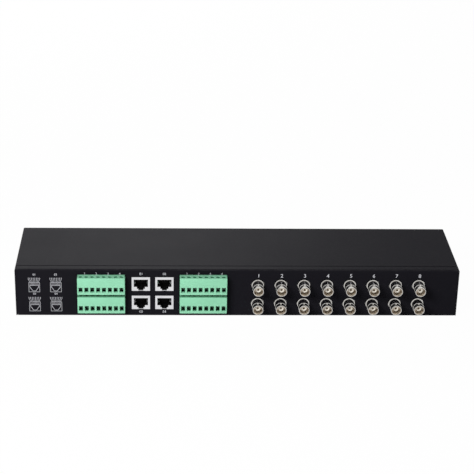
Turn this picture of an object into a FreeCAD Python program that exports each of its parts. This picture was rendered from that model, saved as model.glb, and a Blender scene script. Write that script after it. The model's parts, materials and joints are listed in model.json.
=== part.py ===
import FreeCAD, Part
import math
import os
import Sketcher
from FreeCAD import Vector

# Sixteen channel video balun in a folded steel case, about one rack unit high.
# X runs along the case, +Y points from the connector panel to the plain front, +Z is up.
# The origin is the middle of the footprint, on the surface that the case rests on.

# Driving sizes, all in millimetres apart from counts.
SIZES = [
    ("case_width", "390", "over both sides of the cover"),
    ("case_height", "45.2", "a little over one rack unit"),
    ("case_depth", "88.5", "from the connector panel to the plain front"),
    ("sheet_metal", "1.2", "thickness of chassis and cover"),
    ("bend_radius", "1.3", "outside radius of every bend"),
    ("cover_gap", "0.2", "between the cover and the chassis"),
    ("cover_lift", "0.5", "height of the lower edges of the cover's sides"),
    ("strip_depth", "7.2", "strip on top of the connector panel"),
    ("groove_width", "1.0", "groove between that strip and the cover"),
    ("ledge_depth", "10", "ledge under the rear edge of the cover"),
    ("front_flange_depth", "12", "flange under the front edge of the cover"),
    ("side_flange_height", "15", "side flanges of the chassis"),
    ("cover_screw_height", "8.5", "axis of the cover screws above the base"),
    ("cover_screw_spacing", "32", "between neighbouring cover screws"),
    ("cover_screw_length", "6", "countersunk cover screw"),
    ("screw_diameter", "3", "shanks of cover and board screws"),
    ("screw_head_diameter", "5.4", "heads of cover and board screws"),
    ("screw_head_height", "1.9", "pan heads of the board screws"),
    ("screw_fit", "0.15", "radial clearance of a screw in its hole"),
    ("drive_width", "0.8", "slot in a screw head"),
    ("drive_depth", "0.8", "slot in a screw head"),
    ("board_thickness", "1.6", "both circuit boards"),
    ("board_width", "322", "both circuit boards"),
    ("board_depth", "64", "both circuit boards"),
    ("board_offset", "12", "middle of the boards to the right of the middle of the case"),
    ("board_setback", "2.5", "front edge of the boards behind the panel's inner face"),
    ("lower_board_top", "6.8", "component side of the lower board"),
    ("row_pitch", "18", "from the lower board to the upper one"),
    ("spacer_flats", "5.5", "hexagon spacers, across flats"),
    ("spacer_span_x", "304", "between the outer columns of spacers"),
    ("spacer_span_y", "36", "between the two rows of spacers"),
    ("spacer_row_setback", "21", "first row of spacers behind the boards' front edge"),
    ("stud_length", "3.2", "threaded stud under each spacer"),
    ("pole_pitch", "5.08", "between neighbouring poles"),
    ("pole_count", "8", "poles in a plug"),
    ("left_stack_x", "-119.8", "middle of the left pair of plugs"),
    ("right_stack_x", "-30.5", "middle of the right pair of plugs"),
    ("plug_width", "41.4", "plug housing"),
    ("plug_height", "15.9", "plug housing"),
    ("plug_reach", "7.5", "plug in front of the panel"),
    ("plug_drop", "0.85", "underside of a plug below the board it belongs to"),
    ("plug_edge", "0.4", "chamfer round the front of a plug"),
    ("plug_cut_gap", "0.5", "panel cut-out round the plugs"),
    ("entry_width", "3.2", "wire entry"),
    ("entry_height", "4.4", "wire entry"),
    ("entry_rise", "4.9", "middle of a wire entry above the plug's underside"),
    ("well_diameter", "3.2", "screw well"),
    ("well_setback", "3.8", "screw well behind the plug's front"),
    ("chamber_width", "4.2", "clamp chamber"),
    ("chamber_length", "4.6", "clamp chamber"),
    ("chamber_rise", "1.7", "floor of the clamp chamber above the plug's underside"),
    ("chamber_height", "9.4", "clamp chamber"),
    ("clamp_fit", "0.1", "round a clamp in its chamber"),
    ("clamp_wall", "0.6", "sides and floor of a clamp"),
    ("clamp_nut_height", "2.6", "threaded top of a clamp"),
    ("clamp_screw_diameter", "2.4", "shank of a clamp screw"),
    ("clamp_head_height", "2.2", "head of a clamp screw"),
    ("clamp_head_depth", "2.4", "head of a clamp screw below the plug's top"),
    ("clamp_screw_reach", "0.6", "clamp screw past the threaded top"),
    ("leaf_width", "1.8", "contact leaves of a clamp"),
    ("leaf_thickness", "0.5", "contact leaves of a clamp"),
    ("leaf_gap", "0.1", "between a leaf and the header pin"),
    ("leaf_inset", "1.2", "leaves short of the end of the nose"),
    ("nose_length", "8.4", "part of a plug that enters its header"),
    ("nose_gap", "0.3", "between that nose and the header"),
    ("nose_slot_width", "2.6", "pin entry through the nose"),
    ("nose_slot_height", "2.8", "pin entry through the nose"),
    ("header_width", "42", "header on the board"),
    ("header_height", "12", "header on the board"),
    ("header_wall", "1.1", "walls round the header's mouth"),
    ("header_setback", "3.5", "header's mouth behind the panel's outer face"),
    ("header_back_wall", "3", "wall that holds the pins"),
    ("pin_size", "1", "square header pins"),
    ("pin_rise", "6", "middle of the header pins above the board"),
    ("pin_reach", "7.4", "pins in front of the wall that holds them"),
    ("pin_tail", "2.2", "pins behind that wall"),
    ("pin_fit", "0.05", "round a pin in the wall"),
    ("network_left_x", "-85.3", "middle of the left network jacks"),
    ("network_pitch", "20.6", "between the network jacks"),
    ("network_width", "16", "network jack"),
    ("network_height", "13.2", "network jack"),
    ("network_depth", "18", "network jack"),
    ("network_proud", "0.6", "network jack in front of the panel"),
    ("network_cut_gap", "0.2", "panel cut-out round a network jack"),
    ("shield_wall", "0.4", "sheet of the shield"),
    ("housing_fit", "0.05", "between a housing and its shield"),
    ("housing_floor", "1", "floor of a housing under the latch notch, above the jack's underside"),
    ("mouth_width", "12.4", "mouth of a network jack"),
    ("mouth_top", "10.85", "top of the mouth above the jack's underside"),
    ("mouth_shoulder", "3.85", "height where the mouth narrows"),
    ("notch_width", "7", "upper step of the latch notch"),
    ("notch_rise", "1.95", "height where the notch narrows again"),
    ("latch_width", "4.4", "lower step of the latch notch"),
    ("mouth_depth", "12.5", "depth of the mouth"),
    ("finger_reach", "1.5", "side fingers into the mouth"),
    ("finger_rise", "7.5", "middle of the fingers above the jack's underside"),
    ("finger_height", "2.4", "side fingers"),
    ("finger_length", "3.6", "side fingers, front to back"),
    ("wire_count", "8", "contact wires in a jack"),
    ("wire_pitch", "1.02", "contact wires"),
    ("wire_size", "0.4", "contact wires"),
    ("wire_drop", "2.4", "fall of a contact wire from the roof of the mouth"),
    ("wire_setback", "3", "front ends of the wires behind the mouth"),
    ("wire_slope", "6.5", "length of the sloping part"),
    ("first_video_x", "17.3", "first column of video jacks"),
    ("video_pitch", "20.3", "between the columns of video jacks"),
    ("video_count", "8", "video jacks in a row"),
    ("video_rise", "5.75", "axis of a video jack above its board"),
    ("video_reach", "14", "video jack in front of the panel"),
    ("barrel_diameter", "9.7", "rear part of the barrel"),
    ("barrel_front_diameter", "9.2", "front part of the barrel"),
    ("barrel_bore", "8.1", "bore of the barrel"),
    ("barrel_bore_depth", "9.3", "bore of the barrel"),
    ("barrel_step", "4.9", "step in the barrel behind its front"),
    ("lug_diameter", "2", "bayonet lugs"),
    ("lug_span", "11", "over both bayonet lugs"),
    ("lug_setback", "4.4", "lugs behind the front of the barrel"),
    ("collar_diameter", "10.9", "collar in the panel"),
    ("collar_proud", "1", "collar in front of the panel"),
    ("collar_edge", "0.4", "chamfer of the collar"),
    ("collar_fit", "0.25", "radial gap round the collar in the panel"),
    ("block_width", "13.2", "body of a video jack"),
    ("block_height", "11.8", "body of a video jack"),
    ("block_depth", "14", "body of a video jack"),
    ("block_gap", "0.1", "between that body and the panel"),
    ("insulator_diameter", "4.8", "insulator in the barrel"),
    ("insulator_base_diameter", "6", "insulator in the body"),
    ("insulator_setback", "3.7", "insulator behind the front of the barrel"),
    ("insulator_fit", "0.05", "radial fit of insulator and contact"),
    ("contact_diameter", "1.9", "centre contact"),
    ("contact_bore", "1", "bore of the centre contact"),
    ("contact_bore_depth", "6", "bore of the centre contact"),
    ("contact_setback", "4.3", "centre contact behind the front of the barrel"),
    ("contact_tail", "1.2", "centre contact behind the body"),
    ("transformer_width", "12.5", "balun transformer"),
    ("transformer_depth", "10", "balun transformer"),
    ("transformer_height", "8", "balun transformer"),
    ("transformer_edge", "0.8", "chamfer round its top"),
    ("transformer_setback", "33", "middle of the transformers behind the boards' front edge"),
]

doc = FreeCAD.newDocument("video_balun")
sheet = doc.addObject("Spreadsheet::Sheet", "Sizes")
nodes = []


class Size:
    """A number together with the sheet formula that gives it."""

    def __init__(self, value, formula):
        self.value = value
        self.formula = formula

    def __add__(self, other):
        other = as_size(other)
        return Size(self.value + other.value, f"({self.formula} + {other.formula})")

    def __sub__(self, other):
        other = as_size(other)
        return Size(self.value - other.value, f"({self.formula} - {other.formula})")

    def __mul__(self, other):
        other = as_size(other)
        return Size(self.value * other.value, f"({self.formula} * {other.formula})")

    def __truediv__(self, other):
        other = as_size(other)
        return Size(self.value / other.value, f"({self.formula} / {other.formula})")

    def __neg__(self):
        return Size(-self.value, f"(-1 * {self.formula})")

    def __radd__(self, other):
        return as_size(other) + self

    def __rsub__(self, other):
        return as_size(other) - self

    def __rmul__(self, other):
        return as_size(other) * self


def as_size(number):
    if isinstance(number, Size):
        return number
    return Size(float(number), f"({float(number):.9f})")


def fill_sheet():
    """Write the sizes to the sheet and return them by name."""
    sizes = {}
    for row, (alias, value, note) in enumerate(SIZES, start=1):
        sheet.set(f"A{row}", alias)
        sheet.set(f"B{row}", value)
        sheet.set(f"C{row}", note)
        sheet.setAlias(f"B{row}", alias)
        sizes[alias] = Size(float(value), f"Sizes.{alias}")
    doc.recompute()
    return sizes


S = fill_sheet()
ZERO = as_size(0)
VIDEO_JACKS = int(S["video_count"].value)
ROWS = {"lower": ZERO, "upper": S["row_pitch"]}
STACKS = {"left": S["left_stack_x"], "right": S["right_stack_x"]}

# Places that several pieces share.
half_width = S["case_width"] / 2
chassis_half = half_width - S["sheet_metal"] - S["cover_gap"]
panel_face = -(S["case_depth"] / 2)
panel_back = panel_face + S["sheet_metal"]
front_face = S["case_depth"] / 2
cover_under = S["case_height"] - S["sheet_metal"]
ledge_top = cover_under - S["cover_gap"]
strip_end = panel_face + S["strip_depth"]
cover_rear = strip_end + S["groove_width"]
board_front = panel_back + S["board_setback"]
screw_hole = S["screw_diameter"] + 2 * S["screw_fit"]
plug_front = panel_face - S["plug_reach"]
header_front = panel_face + S["header_setback"]
nose_start = header_front - S["nose_gap"]
nose_end = nose_start + S["nose_length"]
header_floor = nose_end + S["nose_gap"]
header_back = header_floor + S["header_back_wall"]
first_pole = -(S["pole_pitch"] * (S["pole_count"] - 1) / 2)
plug_pin_rise = S["plug_drop"] + S["pin_rise"]
well_y = plug_front + S["well_setback"]
chamber_front = well_y - S["chamber_length"] / 2
chamber_back = well_y + S["chamber_length"] / 2
chamber_top = S["chamber_rise"] + S["chamber_height"]
network_front = panel_face - S["network_proud"]
video_front = panel_face - S["video_reach"]
block_front = panel_back + S["block_gap"]
block_back = block_front + S["block_depth"]


def board_top(row):
    return S["lower_board_top"] + ROWS[row]


def plug_bottom(row):
    return board_top(row) - S["plug_drop"]


def repeat_poles(body, features):
    repeat(body, features, S["pole_count"], S["pole_pitch"])


def repeat_video(body, features):
    repeat(body, features, S["video_count"], S["video_pitch"])


def video_positions():
    return [S["first_video_x"] + S["video_pitch"] * number for number in range(VIDEO_JACKS)]


def new_body(label):
    body = doc.addObject("PartDesign::Body", label)
    body.Label = label
    body.AllowCompound = True
    nodes.append(body)
    return body


def place(body, x=ZERO, y=ZERO, z=ZERO):
    for letter, size in (("x", x), ("y", y), ("z", z)):
        body.setExpression(f"Placement.Base.{letter}", size.formula)


def plane_of(body, role):
    """Origin plane or axis of a body."""
    for feature in body.Origin.OriginFeatures:
        if feature.Role == role:
            return feature
    raise ValueError(f"no {role} in {body.Label}")


def new_sketch(body, role, offset=ZERO):
    """A sketch parallel to an origin plane, moved along that plane's normal."""
    sketch = body.newObject("Sketcher::SketchObject", f"{body.Name}_sketch")
    sketch.AttachmentSupport = [(plane_of(body, role), "")]
    sketch.MapMode = "FlatFace"
    sketch.setExpression("AttachmentOffset.Base.z", offset.formula)
    return sketch


def level_sketch(body, z):
    """Sketch in X and Y at height z."""
    return new_sketch(body, "XY_Plane", z)


def facing_sketch(body, y):
    """Sketch in X and Z at depth y; the plane's normal points to -Y."""
    return new_sketch(body, "XZ_Plane", -y)


def section_sketch(body, x=ZERO):
    """Sketch in Y and Z at place x."""
    return new_sketch(body, "YZ_Plane", x)


def hold_points(sketch, held):
    """Dimension each point from the sketch's origin; held lists geometry, point, u and v."""
    rules = []
    sizes = []
    for geometry, point, u, v in held:
        for kind, size in (("DistanceX", u), ("DistanceY", v)):
            rules.append(Sketcher.Constraint(kind, -1, 1, geometry, point, size.value))
            sizes.append(size)
    for number, size in zip(sketch.addConstraint(rules), sizes):
        sketch.setExpression(f"Constraints[{number}]", size.formula)


def draw_outline(sketch, points):
    """Closed outline of straight lines through the points."""
    first = sketch.GeometryCount
    corners = [(as_size(u), as_size(v)) for u, v in points]
    ends = corners[1:] + corners[:1]
    lines = []
    for (u, v), (next_u, next_v) in zip(corners, ends):
        lines.append(Part.LineSegment(Vector(u.value, v.value, 0), Vector(next_u.value, next_v.value, 0)))
    sketch.addGeometry(lines, False)
    count = len(lines)
    joins = []
    for number in range(count):
        joins.append(Sketcher.Constraint("Coincident", first + number, 2, first + (number + 1) % count, 1))
    sketch.addConstraint(joins)
    hold_points(sketch, [(first + n, 1, u, v) for n, (u, v) in enumerate(corners)])


def draw_box(sketch, u0, v0, u1, v1):
    draw_outline(sketch, [(u0, v0), (u1, v0), (u1, v1), (u0, v1)])


def draw_circle(sketch, u, v, diameter):
    circle = Part.Circle(Vector(u.value, v.value, 0), Vector(0, 0, 1), diameter.value / 2)
    number = sketch.addGeometry(circle, False)
    hold_points(sketch, [(number, 3, u, v)])
    rule = sketch.addConstraint(Sketcher.Constraint("Radius", number, diameter.value / 2))
    sketch.setExpression(f"Constraints[{rule}]", (diameter / 2).formula)


def draw_hexagon(sketch, u, v, across_flats):
    radius = across_flats / (2 * math.cos(math.radians(30)))
    points = []
    for corner in range(6):
        angle = math.radians(60 * corner)
        points.append((u + radius * math.cos(angle), v + radius * math.sin(angle)))
    draw_outline(sketch, points)


def pad(body, sketch, length, reverse=False, both=False):
    """Pad a sketch; reverse goes against the normal, both splits the length over both sides."""
    feature = body.newObject("PartDesign::Pad", f"{body.Name}_pad")
    feature.Profile = sketch
    feature.Reversed = reverse
    feature.Midplane = both
    feature.setExpression("Length", length.formula)
    doc.recompute()
    return feature


def pocket(body, sketch, length, reverse=False, both=False):
    """Cut a sketch against its normal, or along it with reverse, and make sure that it cut."""
    before = body.Shape.Volume
    feature = body.newObject("PartDesign::Pocket", f"{body.Name}_pocket")
    feature.Profile = sketch
    feature.Reversed = reverse
    feature.Midplane = both
    feature.setExpression("Length", length.formula)
    doc.recompute()
    if body.Shape.Volume >= before:
        raise ValueError(f"a pocket in {body.Label} cut nothing")
    return feature


def repeat(body, features, count, pitch):
    """Repeat features of a body along X."""
    feature = body.newObject("PartDesign::LinearPattern", f"{body.Name}_pattern")
    feature.Originals = features
    feature.Direction = (plane_of(body, "X_Axis"), [""])
    feature.setExpression("Occurrences", count.formula)
    feature.setExpression("Length", (pitch * (count - 1)).formula)
    body.Tip = feature
    doc.recompute()


def revolve(body, sketch):
    """Turn a half section about the sketch's first axis."""
    feature = body.newObject("PartDesign::Revolution", f"{body.Name}_revolution")
    feature.Profile = sketch
    feature.ReferenceAxis = (sketch, ["H_Axis"])
    feature.Angle = 360
    doc.recompute()
    return feature


def edges_where(shape, test):
    """Names of the edges whose middle and direction pass the test."""
    names = []
    for number, edge in enumerate(shape.Edges, start=1):
        middle = edge.valueAt((edge.FirstParameter + edge.LastParameter) / 2)
        span = edge.Vertexes[-1].Point.sub(edge.Vertexes[0].Point)
        if test(edge, middle, span):
            names.append(f"Edge{number}")
    return names


def near(first, second):
    return abs(first - second) < 0.01


def dress(body, kind, size, test):
    """Fillet or chamfer the edges of the body that pass the test."""
    base = body.Tip
    names = edges_where(base.Shape, test)
    if not names:
        raise ValueError(f"no edge for a {kind} in {body.Label}")
    feature = body.newObject(f"PartDesign::{kind}", f"{body.Name}_{kind.lower()}")
    feature.Base = (base, names)
    feature.setExpression("Radius" if kind == "Fillet" else "Size", size.formula)
    doc.recompute()
    return feature


def bend_test(axis, places):
    """Straight edges along an axis (0, 1 or 2) at the given pairs of the other two places."""
    others = [number for number in range(3) if number != axis]

    def test(edge, middle, span):
        if abs(abs(span[axis]) - span.Length) > 0.001 or span.Length < 5:
            return False
        return any(near(middle[others[0]], a.value) and near(middle[others[1]], b.value) for a, b in places)

    return test


def cover_screw_places():
    return [S["cover_screw_spacing"] * number for number in (-1, 0, 1)]


def make_chassis():
    """Bottom, front and connector panel with strip and ledge, folded from one sheet."""
    body = new_body("chassis")
    metal = S["sheet_metal"]
    inner_ledge = ledge_top - metal
    profile = section_sketch(body)
    draw_outline(profile, [
        (panel_face, ZERO),
        (front_face, ZERO),
        (front_face, ledge_top),
        (front_face - S["front_flange_depth"], ledge_top),
        (front_face - S["front_flange_depth"], inner_ledge),
        (front_face - metal, inner_ledge),
        (front_face - metal, metal),
        (panel_back, metal),
        (panel_back, cover_under),
        (strip_end - metal, cover_under),
        (strip_end - metal, inner_ledge),
        (strip_end + S["ledge_depth"], inner_ledge),
        (strip_end + S["ledge_depth"], ledge_top),
        (strip_end, ledge_top),
        (strip_end, S["case_height"]),
        (panel_face, S["case_height"]),
    ])
    pad(body, profile, 2 * chassis_half, both=True)

    flanges = level_sketch(body, ZERO)
    for side in (-1, 1):
        draw_box(flanges, side * chassis_half, panel_back, side * (chassis_half - metal), front_face - metal)
    pad(body, flanges, S["side_flange_height"])

    outer_bends = [
        (panel_face, ZERO), (front_face, ZERO), (front_face, ledge_top), (panel_face, S["case_height"]),
    ]
    side_bends = [(chassis_half, ZERO), (-chassis_half, ZERO)]
    along_x = bend_test(0, outer_bends)
    along_y = bend_test(1, side_bends)

    def outer_bend(edge, middle, span):
        return along_x(edge, middle, span) or along_y(edge, middle, span)

    dress(body, "Fillet", S["bend_radius"], outer_bend)
    inner_bends = [
        (front_face - metal, inner_ledge), (front_face - metal, metal),
        (panel_back, metal), (panel_back, cover_under),
    ]
    dress(body, "Fillet", S["bend_radius"] - metal, bend_test(0, inner_bends))

    openings = facing_sketch(body, panel_face)
    gap = S["plug_cut_gap"]
    for middle in STACKS.values():
        half = S["plug_width"] / 2 + gap
        top = plug_bottom("upper") + S["plug_height"] + gap
        draw_box(openings, middle - half, plug_bottom("lower") - gap, middle + half, top)
    for row in ROWS:
        for middle in network_positions():
            half = S["network_width"] / 2 + S["network_cut_gap"]
            low = board_top(row) - S["network_cut_gap"]
            high = board_top(row) + S["network_height"] + S["network_cut_gap"]
            draw_box(openings, middle - half, low, middle + half, high)
        for middle in video_positions():
            height = board_top(row) + S["video_rise"]
            draw_circle(openings, middle, height, S["collar_diameter"] + 2 * S["collar_fit"])
    pocket(body, openings, metal)

    taps = section_sketch(body)
    for y in cover_screw_places():
        draw_circle(taps, y, S["cover_screw_height"], screw_hole)
    pocket(body, taps, S["case_width"], both=True)


def make_cover():
    """Top and both sides folded from one sheet, countersunk for its screws."""
    body = new_body("top_cover")
    metal = S["sheet_metal"]
    inside = half_width - metal
    profile = facing_sketch(body, ZERO)
    draw_outline(profile, [
        (-half_width, S["cover_lift"]),
        (-half_width, S["case_height"]),
        (half_width, S["case_height"]),
        (half_width, S["cover_lift"]),
        (inside, S["cover_lift"]),
        (inside, cover_under),
        (-inside, cover_under),
        (-inside, S["cover_lift"]),
    ])
    pad(body, profile, S["case_depth"], both=True)
    outer_bends = [(half_width, S["case_height"]), (-half_width, S["case_height"])]
    dress(body, "Fillet", S["bend_radius"], bend_test(1, outer_bends))
    inner_bends = [(inside, cover_under), (-inside, cover_under)]
    dress(body, "Fillet", S["bend_radius"] - metal, bend_test(1, inner_bends))

    notch = level_sketch(body, S["case_height"])
    draw_box(notch, -inside, panel_face, inside, cover_rear)
    pocket(body, notch, 2 * metal)

    holes = section_sketch(body)
    for y in cover_screw_places():
        draw_circle(holes, y, S["cover_screw_height"], screw_hole)
    pocket(body, holes, S["case_width"], both=True)

    def on_outside(edge, middle, span):
        round_edge = edge.Curve.TypeId == "Part::GeomCircle"
        return round_edge and near(abs(middle.x), half_width.value) and middle.z < half_width.value / 10

    dress(body, "Chamfer", (S["screw_head_diameter"] - S["screw_diameter"]) / 2 - 0.05, on_outside)


def make_cover_screws():
    """Countersunk screws through the cover's sides into the chassis."""
    body = new_body("cover_screws")
    cone = (S["screw_head_diameter"] - S["screw_diameter"]) / 2
    for side in (-1, 1):
        shanks = section_sketch(body, side * (half_width - S["cover_screw_length"]))
        for y in cover_screw_places():
            draw_circle(shanks, y, S["cover_screw_height"], S["screw_diameter"])
        pad(body, shanks, S["cover_screw_length"] - cone, reverse=side < 0)
        for y in cover_screw_places():
            add_screw_cone(body, side, y, cone)
        slots = section_sketch(body, side * half_width)
        for y in cover_screw_places():
            half = S["drive_width"] / 2
            reach = S["screw_head_diameter"] * 0.4
            rise = S["cover_screw_height"]
            draw_box(slots, y - half, rise - reach, y + half, rise + reach)
        pocket(body, slots, S["drive_depth"], reverse=side < 0)


def add_screw_cone(body, side, y, cone):
    head = body.newObject("PartDesign::AdditiveCone", f"{body.Name}_head")
    head.AttachmentSupport = [(plane_of(body, "YZ_Plane"), "")]
    head.MapMode = "FlatFace"
    head.setExpression("AttachmentOffset.Base.x", y.formula)
    head.setExpression("AttachmentOffset.Base.y", S["cover_screw_height"].formula)
    if side > 0:
        head.setExpression("AttachmentOffset.Base.z", (half_width - cone).formula)
        narrow, wide = "Radius1", "Radius2"
    else:
        head.setExpression("AttachmentOffset.Base.z", (-half_width).formula)
        narrow, wide = "Radius2", "Radius1"
    head.setExpression(narrow, (S["screw_diameter"] / 2).formula)
    head.setExpression(wide, (S["screw_head_diameter"] / 2).formula)
    head.setExpression("Height", cone.formula)
    doc.recompute()


def spacer_places():
    columns = [S["board_offset"] + S["spacer_span_x"] / 2 * number for number in (-1, 0, 1)]
    first_row = board_front + S["spacer_row_setback"]
    return [(x, y) for x in columns for y in (first_row, first_row + S["spacer_span_y"])]


def make_board(row):
    body = new_body(f"{row}_board")
    outline = level_sketch(body, board_top(row) - S["board_thickness"])
    left = S["board_offset"] - S["board_width"] / 2
    right = S["board_offset"] + S["board_width"] / 2
    draw_box(outline, left, board_front, right, board_front + S["board_depth"])
    for x, y in spacer_places():
        draw_circle(outline, x, y, screw_hole)
    pad(body, outline, S["board_thickness"])


def make_standoffs():
    """Hexagon standoffs pressed into the base, under the lower board."""
    body = new_body("board_standoffs")
    height = board_top("lower") - S["board_thickness"] - S["sheet_metal"]
    outline = level_sketch(body, S["sheet_metal"])
    for x, y in spacer_places():
        draw_hexagon(outline, x, y, S["spacer_flats"])
        draw_circle(outline, x, y, screw_hole)
    pad(body, outline, height)


def make_spacers():
    """Hexagon spacers between the boards, each with a stud below and a thread above."""
    body = new_body("board_spacers")
    outline = level_sketch(body, board_top("lower"))
    for x, y in spacer_places():
        draw_hexagon(outline, x, y, S["spacer_flats"])
    pad(body, outline, S["row_pitch"] - S["board_thickness"])
    studs = level_sketch(body, board_top("lower"))
    for x, y in spacer_places():
        draw_circle(studs, x, y, S["screw_diameter"])
    pad(body, studs, S["stud_length"], reverse=True)
    threads = level_sketch(body, board_top("upper") - S["board_thickness"])
    for x, y in spacer_places():
        draw_circle(threads, x, y, screw_hole)
    pocket(body, threads, 2 * S["stud_length"])


def make_board_screws():
    """Pan head screws through the upper board into the spacers."""
    body = new_body("board_screws")
    shanks = level_sketch(body, board_top("upper") - S["board_thickness"] - S["stud_length"])
    heads = level_sketch(body, board_top("upper"))
    slots = level_sketch(body, board_top("upper") + S["screw_head_height"])
    half = S["drive_width"] / 2
    reach = S["screw_head_diameter"] * 0.4
    for x, y in spacer_places():
        draw_circle(shanks, x, y, S["screw_diameter"])
        draw_circle(heads, x, y, S["screw_head_diameter"])
        draw_box(slots, x - reach, y - half, x + reach, y + half)
    pad(body, shanks, S["stud_length"] + S["board_thickness"])
    pad(body, heads, S["screw_head_height"])
    pocket(body, slots, S["drive_depth"])


def make_header(row, side):
    """Shrouded header on the board; its mouth faces the panel."""
    body = new_body(f"terminal_header_{row}_{side}")
    place(body, STACKS[side], ZERO, board_top(row))
    half = S["header_width"] / 2
    wall = S["header_wall"]
    outline = facing_sketch(body, header_front)
    draw_box(outline, -half, ZERO, half, S["header_height"])
    pad(body, outline, header_back - header_front, reverse=True)
    mouth = facing_sketch(body, header_front)
    draw_box(mouth, -(half - wall), wall, half - wall, S["header_height"] - wall)
    pocket(body, mouth, header_floor - header_front)
    hole = facing_sketch(body, header_floor)
    reach = S["pin_size"] / 2 + S["pin_fit"]
    draw_box(hole, first_pole - reach, S["pin_rise"] - reach, first_pole + reach, S["pin_rise"] + reach)
    repeat_poles(body, [pocket(body, hole, S["header_back_wall"])])


def make_header_pins(row, side):
    """Bent square pins, from the plug's contacts down to the board."""
    body = new_body(f"header_pins_{row}_{side}")
    place(body, STACKS[side], ZERO, board_top(row))
    half = S["pin_size"] / 2
    tip = header_floor - S["pin_reach"]
    end = header_back + S["pin_tail"]
    profile = section_sketch(body, first_pole)
    draw_outline(profile, [
        (tip, S["pin_rise"] - half),
        (end - S["pin_size"], S["pin_rise"] - half),
        (end - S["pin_size"], ZERO),
        (end, ZERO),
        (end, S["pin_rise"] + half),
        (tip, S["pin_rise"] + half),
    ])
    repeat_poles(body, [pad(body, profile, S["pin_size"], both=True)])


def make_plug(row, side):
    """Plug housing with wire entries, screw wells, clamp chambers and a nose for the header."""
    body = new_body(f"terminal_plug_{row}_{side}")
    place(body, STACKS[side], ZERO, plug_bottom(row))
    half = S["plug_width"] / 2
    main = facing_sketch(body, plug_front)
    draw_box(main, -half, ZERO, half, S["plug_height"])
    pad(body, main, nose_start - plug_front, reverse=True)

    inset = S["header_wall"] + S["nose_gap"]
    nose_half = S["header_width"] / 2 - inset
    nose = facing_sketch(body, nose_start)
    low = S["plug_drop"] + inset
    high = S["plug_drop"] + S["header_height"] - inset
    draw_box(nose, -nose_half, low, nose_half, high)
    pad(body, nose, S["nose_length"], reverse=True)

    def front_edge(edge, middle, span):
        return near(middle.y, plug_front.value)

    dress(body, "Chamfer", S["plug_edge"], front_edge)

    x = first_pole
    well = level_sketch(body, S["plug_height"])
    draw_circle(well, x, well_y, S["well_diameter"])
    chamber = level_sketch(body, chamber_top)
    reach = S["chamber_width"] / 2
    draw_box(chamber, x - reach, chamber_front, x + reach, chamber_back)
    entry = facing_sketch(body, plug_front)
    reach = S["entry_width"] / 2
    rise = S["entry_height"] / 2
    draw_box(entry, x - reach, S["entry_rise"] - rise, x + reach, S["entry_rise"] + rise)
    slot = facing_sketch(body, chamber_front)
    reach = S["nose_slot_width"] / 2
    rise = S["nose_slot_height"] / 2
    draw_box(slot, x - reach, plug_pin_rise - rise, x + reach, plug_pin_rise + rise)
    repeat_poles(body, [
        pocket(body, well, S["plug_height"] - chamber_top),
        pocket(body, chamber, S["chamber_height"]),
        pocket(body, entry, chamber_front - plug_front),
        pocket(body, slot, nose_end - chamber_front),
    ])


def make_clamps(row, side):
    """Wire clamps: a square cage with a threaded top and two leaves that grip the header pin."""
    body = new_body(f"plug_clamps_{row}_{side}")
    place(body, STACKS[side], ZERO, plug_bottom(row))
    fit = S["clamp_fit"]
    wall = S["clamp_wall"]
    half = S["chamber_width"] / 2 - fit
    low = S["chamber_rise"] + fit
    high = chamber_top - fit
    front = chamber_front + fit
    back = chamber_back - fit
    lower_leaf = plug_pin_rise - S["pin_size"] / 2 - S["leaf_gap"] - S["leaf_thickness"]
    upper_leaf = plug_pin_rise + S["pin_size"] / 2 + S["leaf_gap"]
    x = first_pole
    cage = facing_sketch(body, front)
    draw_box(cage, x - half, low, x + half, high)
    draw_box(cage, x - half + wall, low + wall, x + half - wall, high - S["clamp_nut_height"])
    back_wall = facing_sketch(body, back - wall)
    draw_box(back_wall, x - half, lower_leaf, x + half, upper_leaf + S["leaf_thickness"])
    leaves = facing_sketch(body, back)
    reach = S["leaf_width"] / 2
    for rise in (lower_leaf, upper_leaf):
        draw_box(leaves, x - reach, rise, x + reach, rise + S["leaf_thickness"])
    thread = level_sketch(body, high)
    draw_circle(thread, x, well_y, S["clamp_screw_diameter"] + fit)
    repeat_poles(body, [
        pad(body, cage, back - front, reverse=True),
        pad(body, back_wall, wall, reverse=True),
        pad(body, leaves, nose_end - S["leaf_inset"] - back, reverse=True),
        pocket(body, thread, S["clamp_nut_height"]),
    ])


def make_clamp_screws(row, side):
    """Slotted clamp screws at the foot of the screw wells."""
    body = new_body(f"plug_screws_{row}_{side}")
    place(body, STACKS[side], ZERO, plug_bottom(row))
    top = S["plug_height"] - S["clamp_head_depth"]
    shoulder = top - S["clamp_head_height"]
    thread_end = chamber_top - S["clamp_nut_height"] - S["clamp_screw_reach"]
    x = first_pole
    shank = level_sketch(body, thread_end)
    draw_circle(shank, x, well_y, S["clamp_screw_diameter"])
    head = level_sketch(body, shoulder)
    head_diameter = S["well_diameter"] - 2 * S["clamp_fit"]
    draw_circle(head, x, well_y, head_diameter)
    drive = level_sketch(body, top)
    half = S["drive_width"] / 2
    reach = head_diameter / 2
    draw_box(drive, x - reach, well_y - half, x + reach, well_y + half)
    repeat_poles(body, [
        pad(body, shank, shoulder - thread_end),
        pad(body, head, S["clamp_head_height"]),
        pocket(body, drive, S["drive_depth"]),
    ])


def network_positions():
    return [S["network_left_x"], S["network_left_x"] + S["network_pitch"]]


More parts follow.
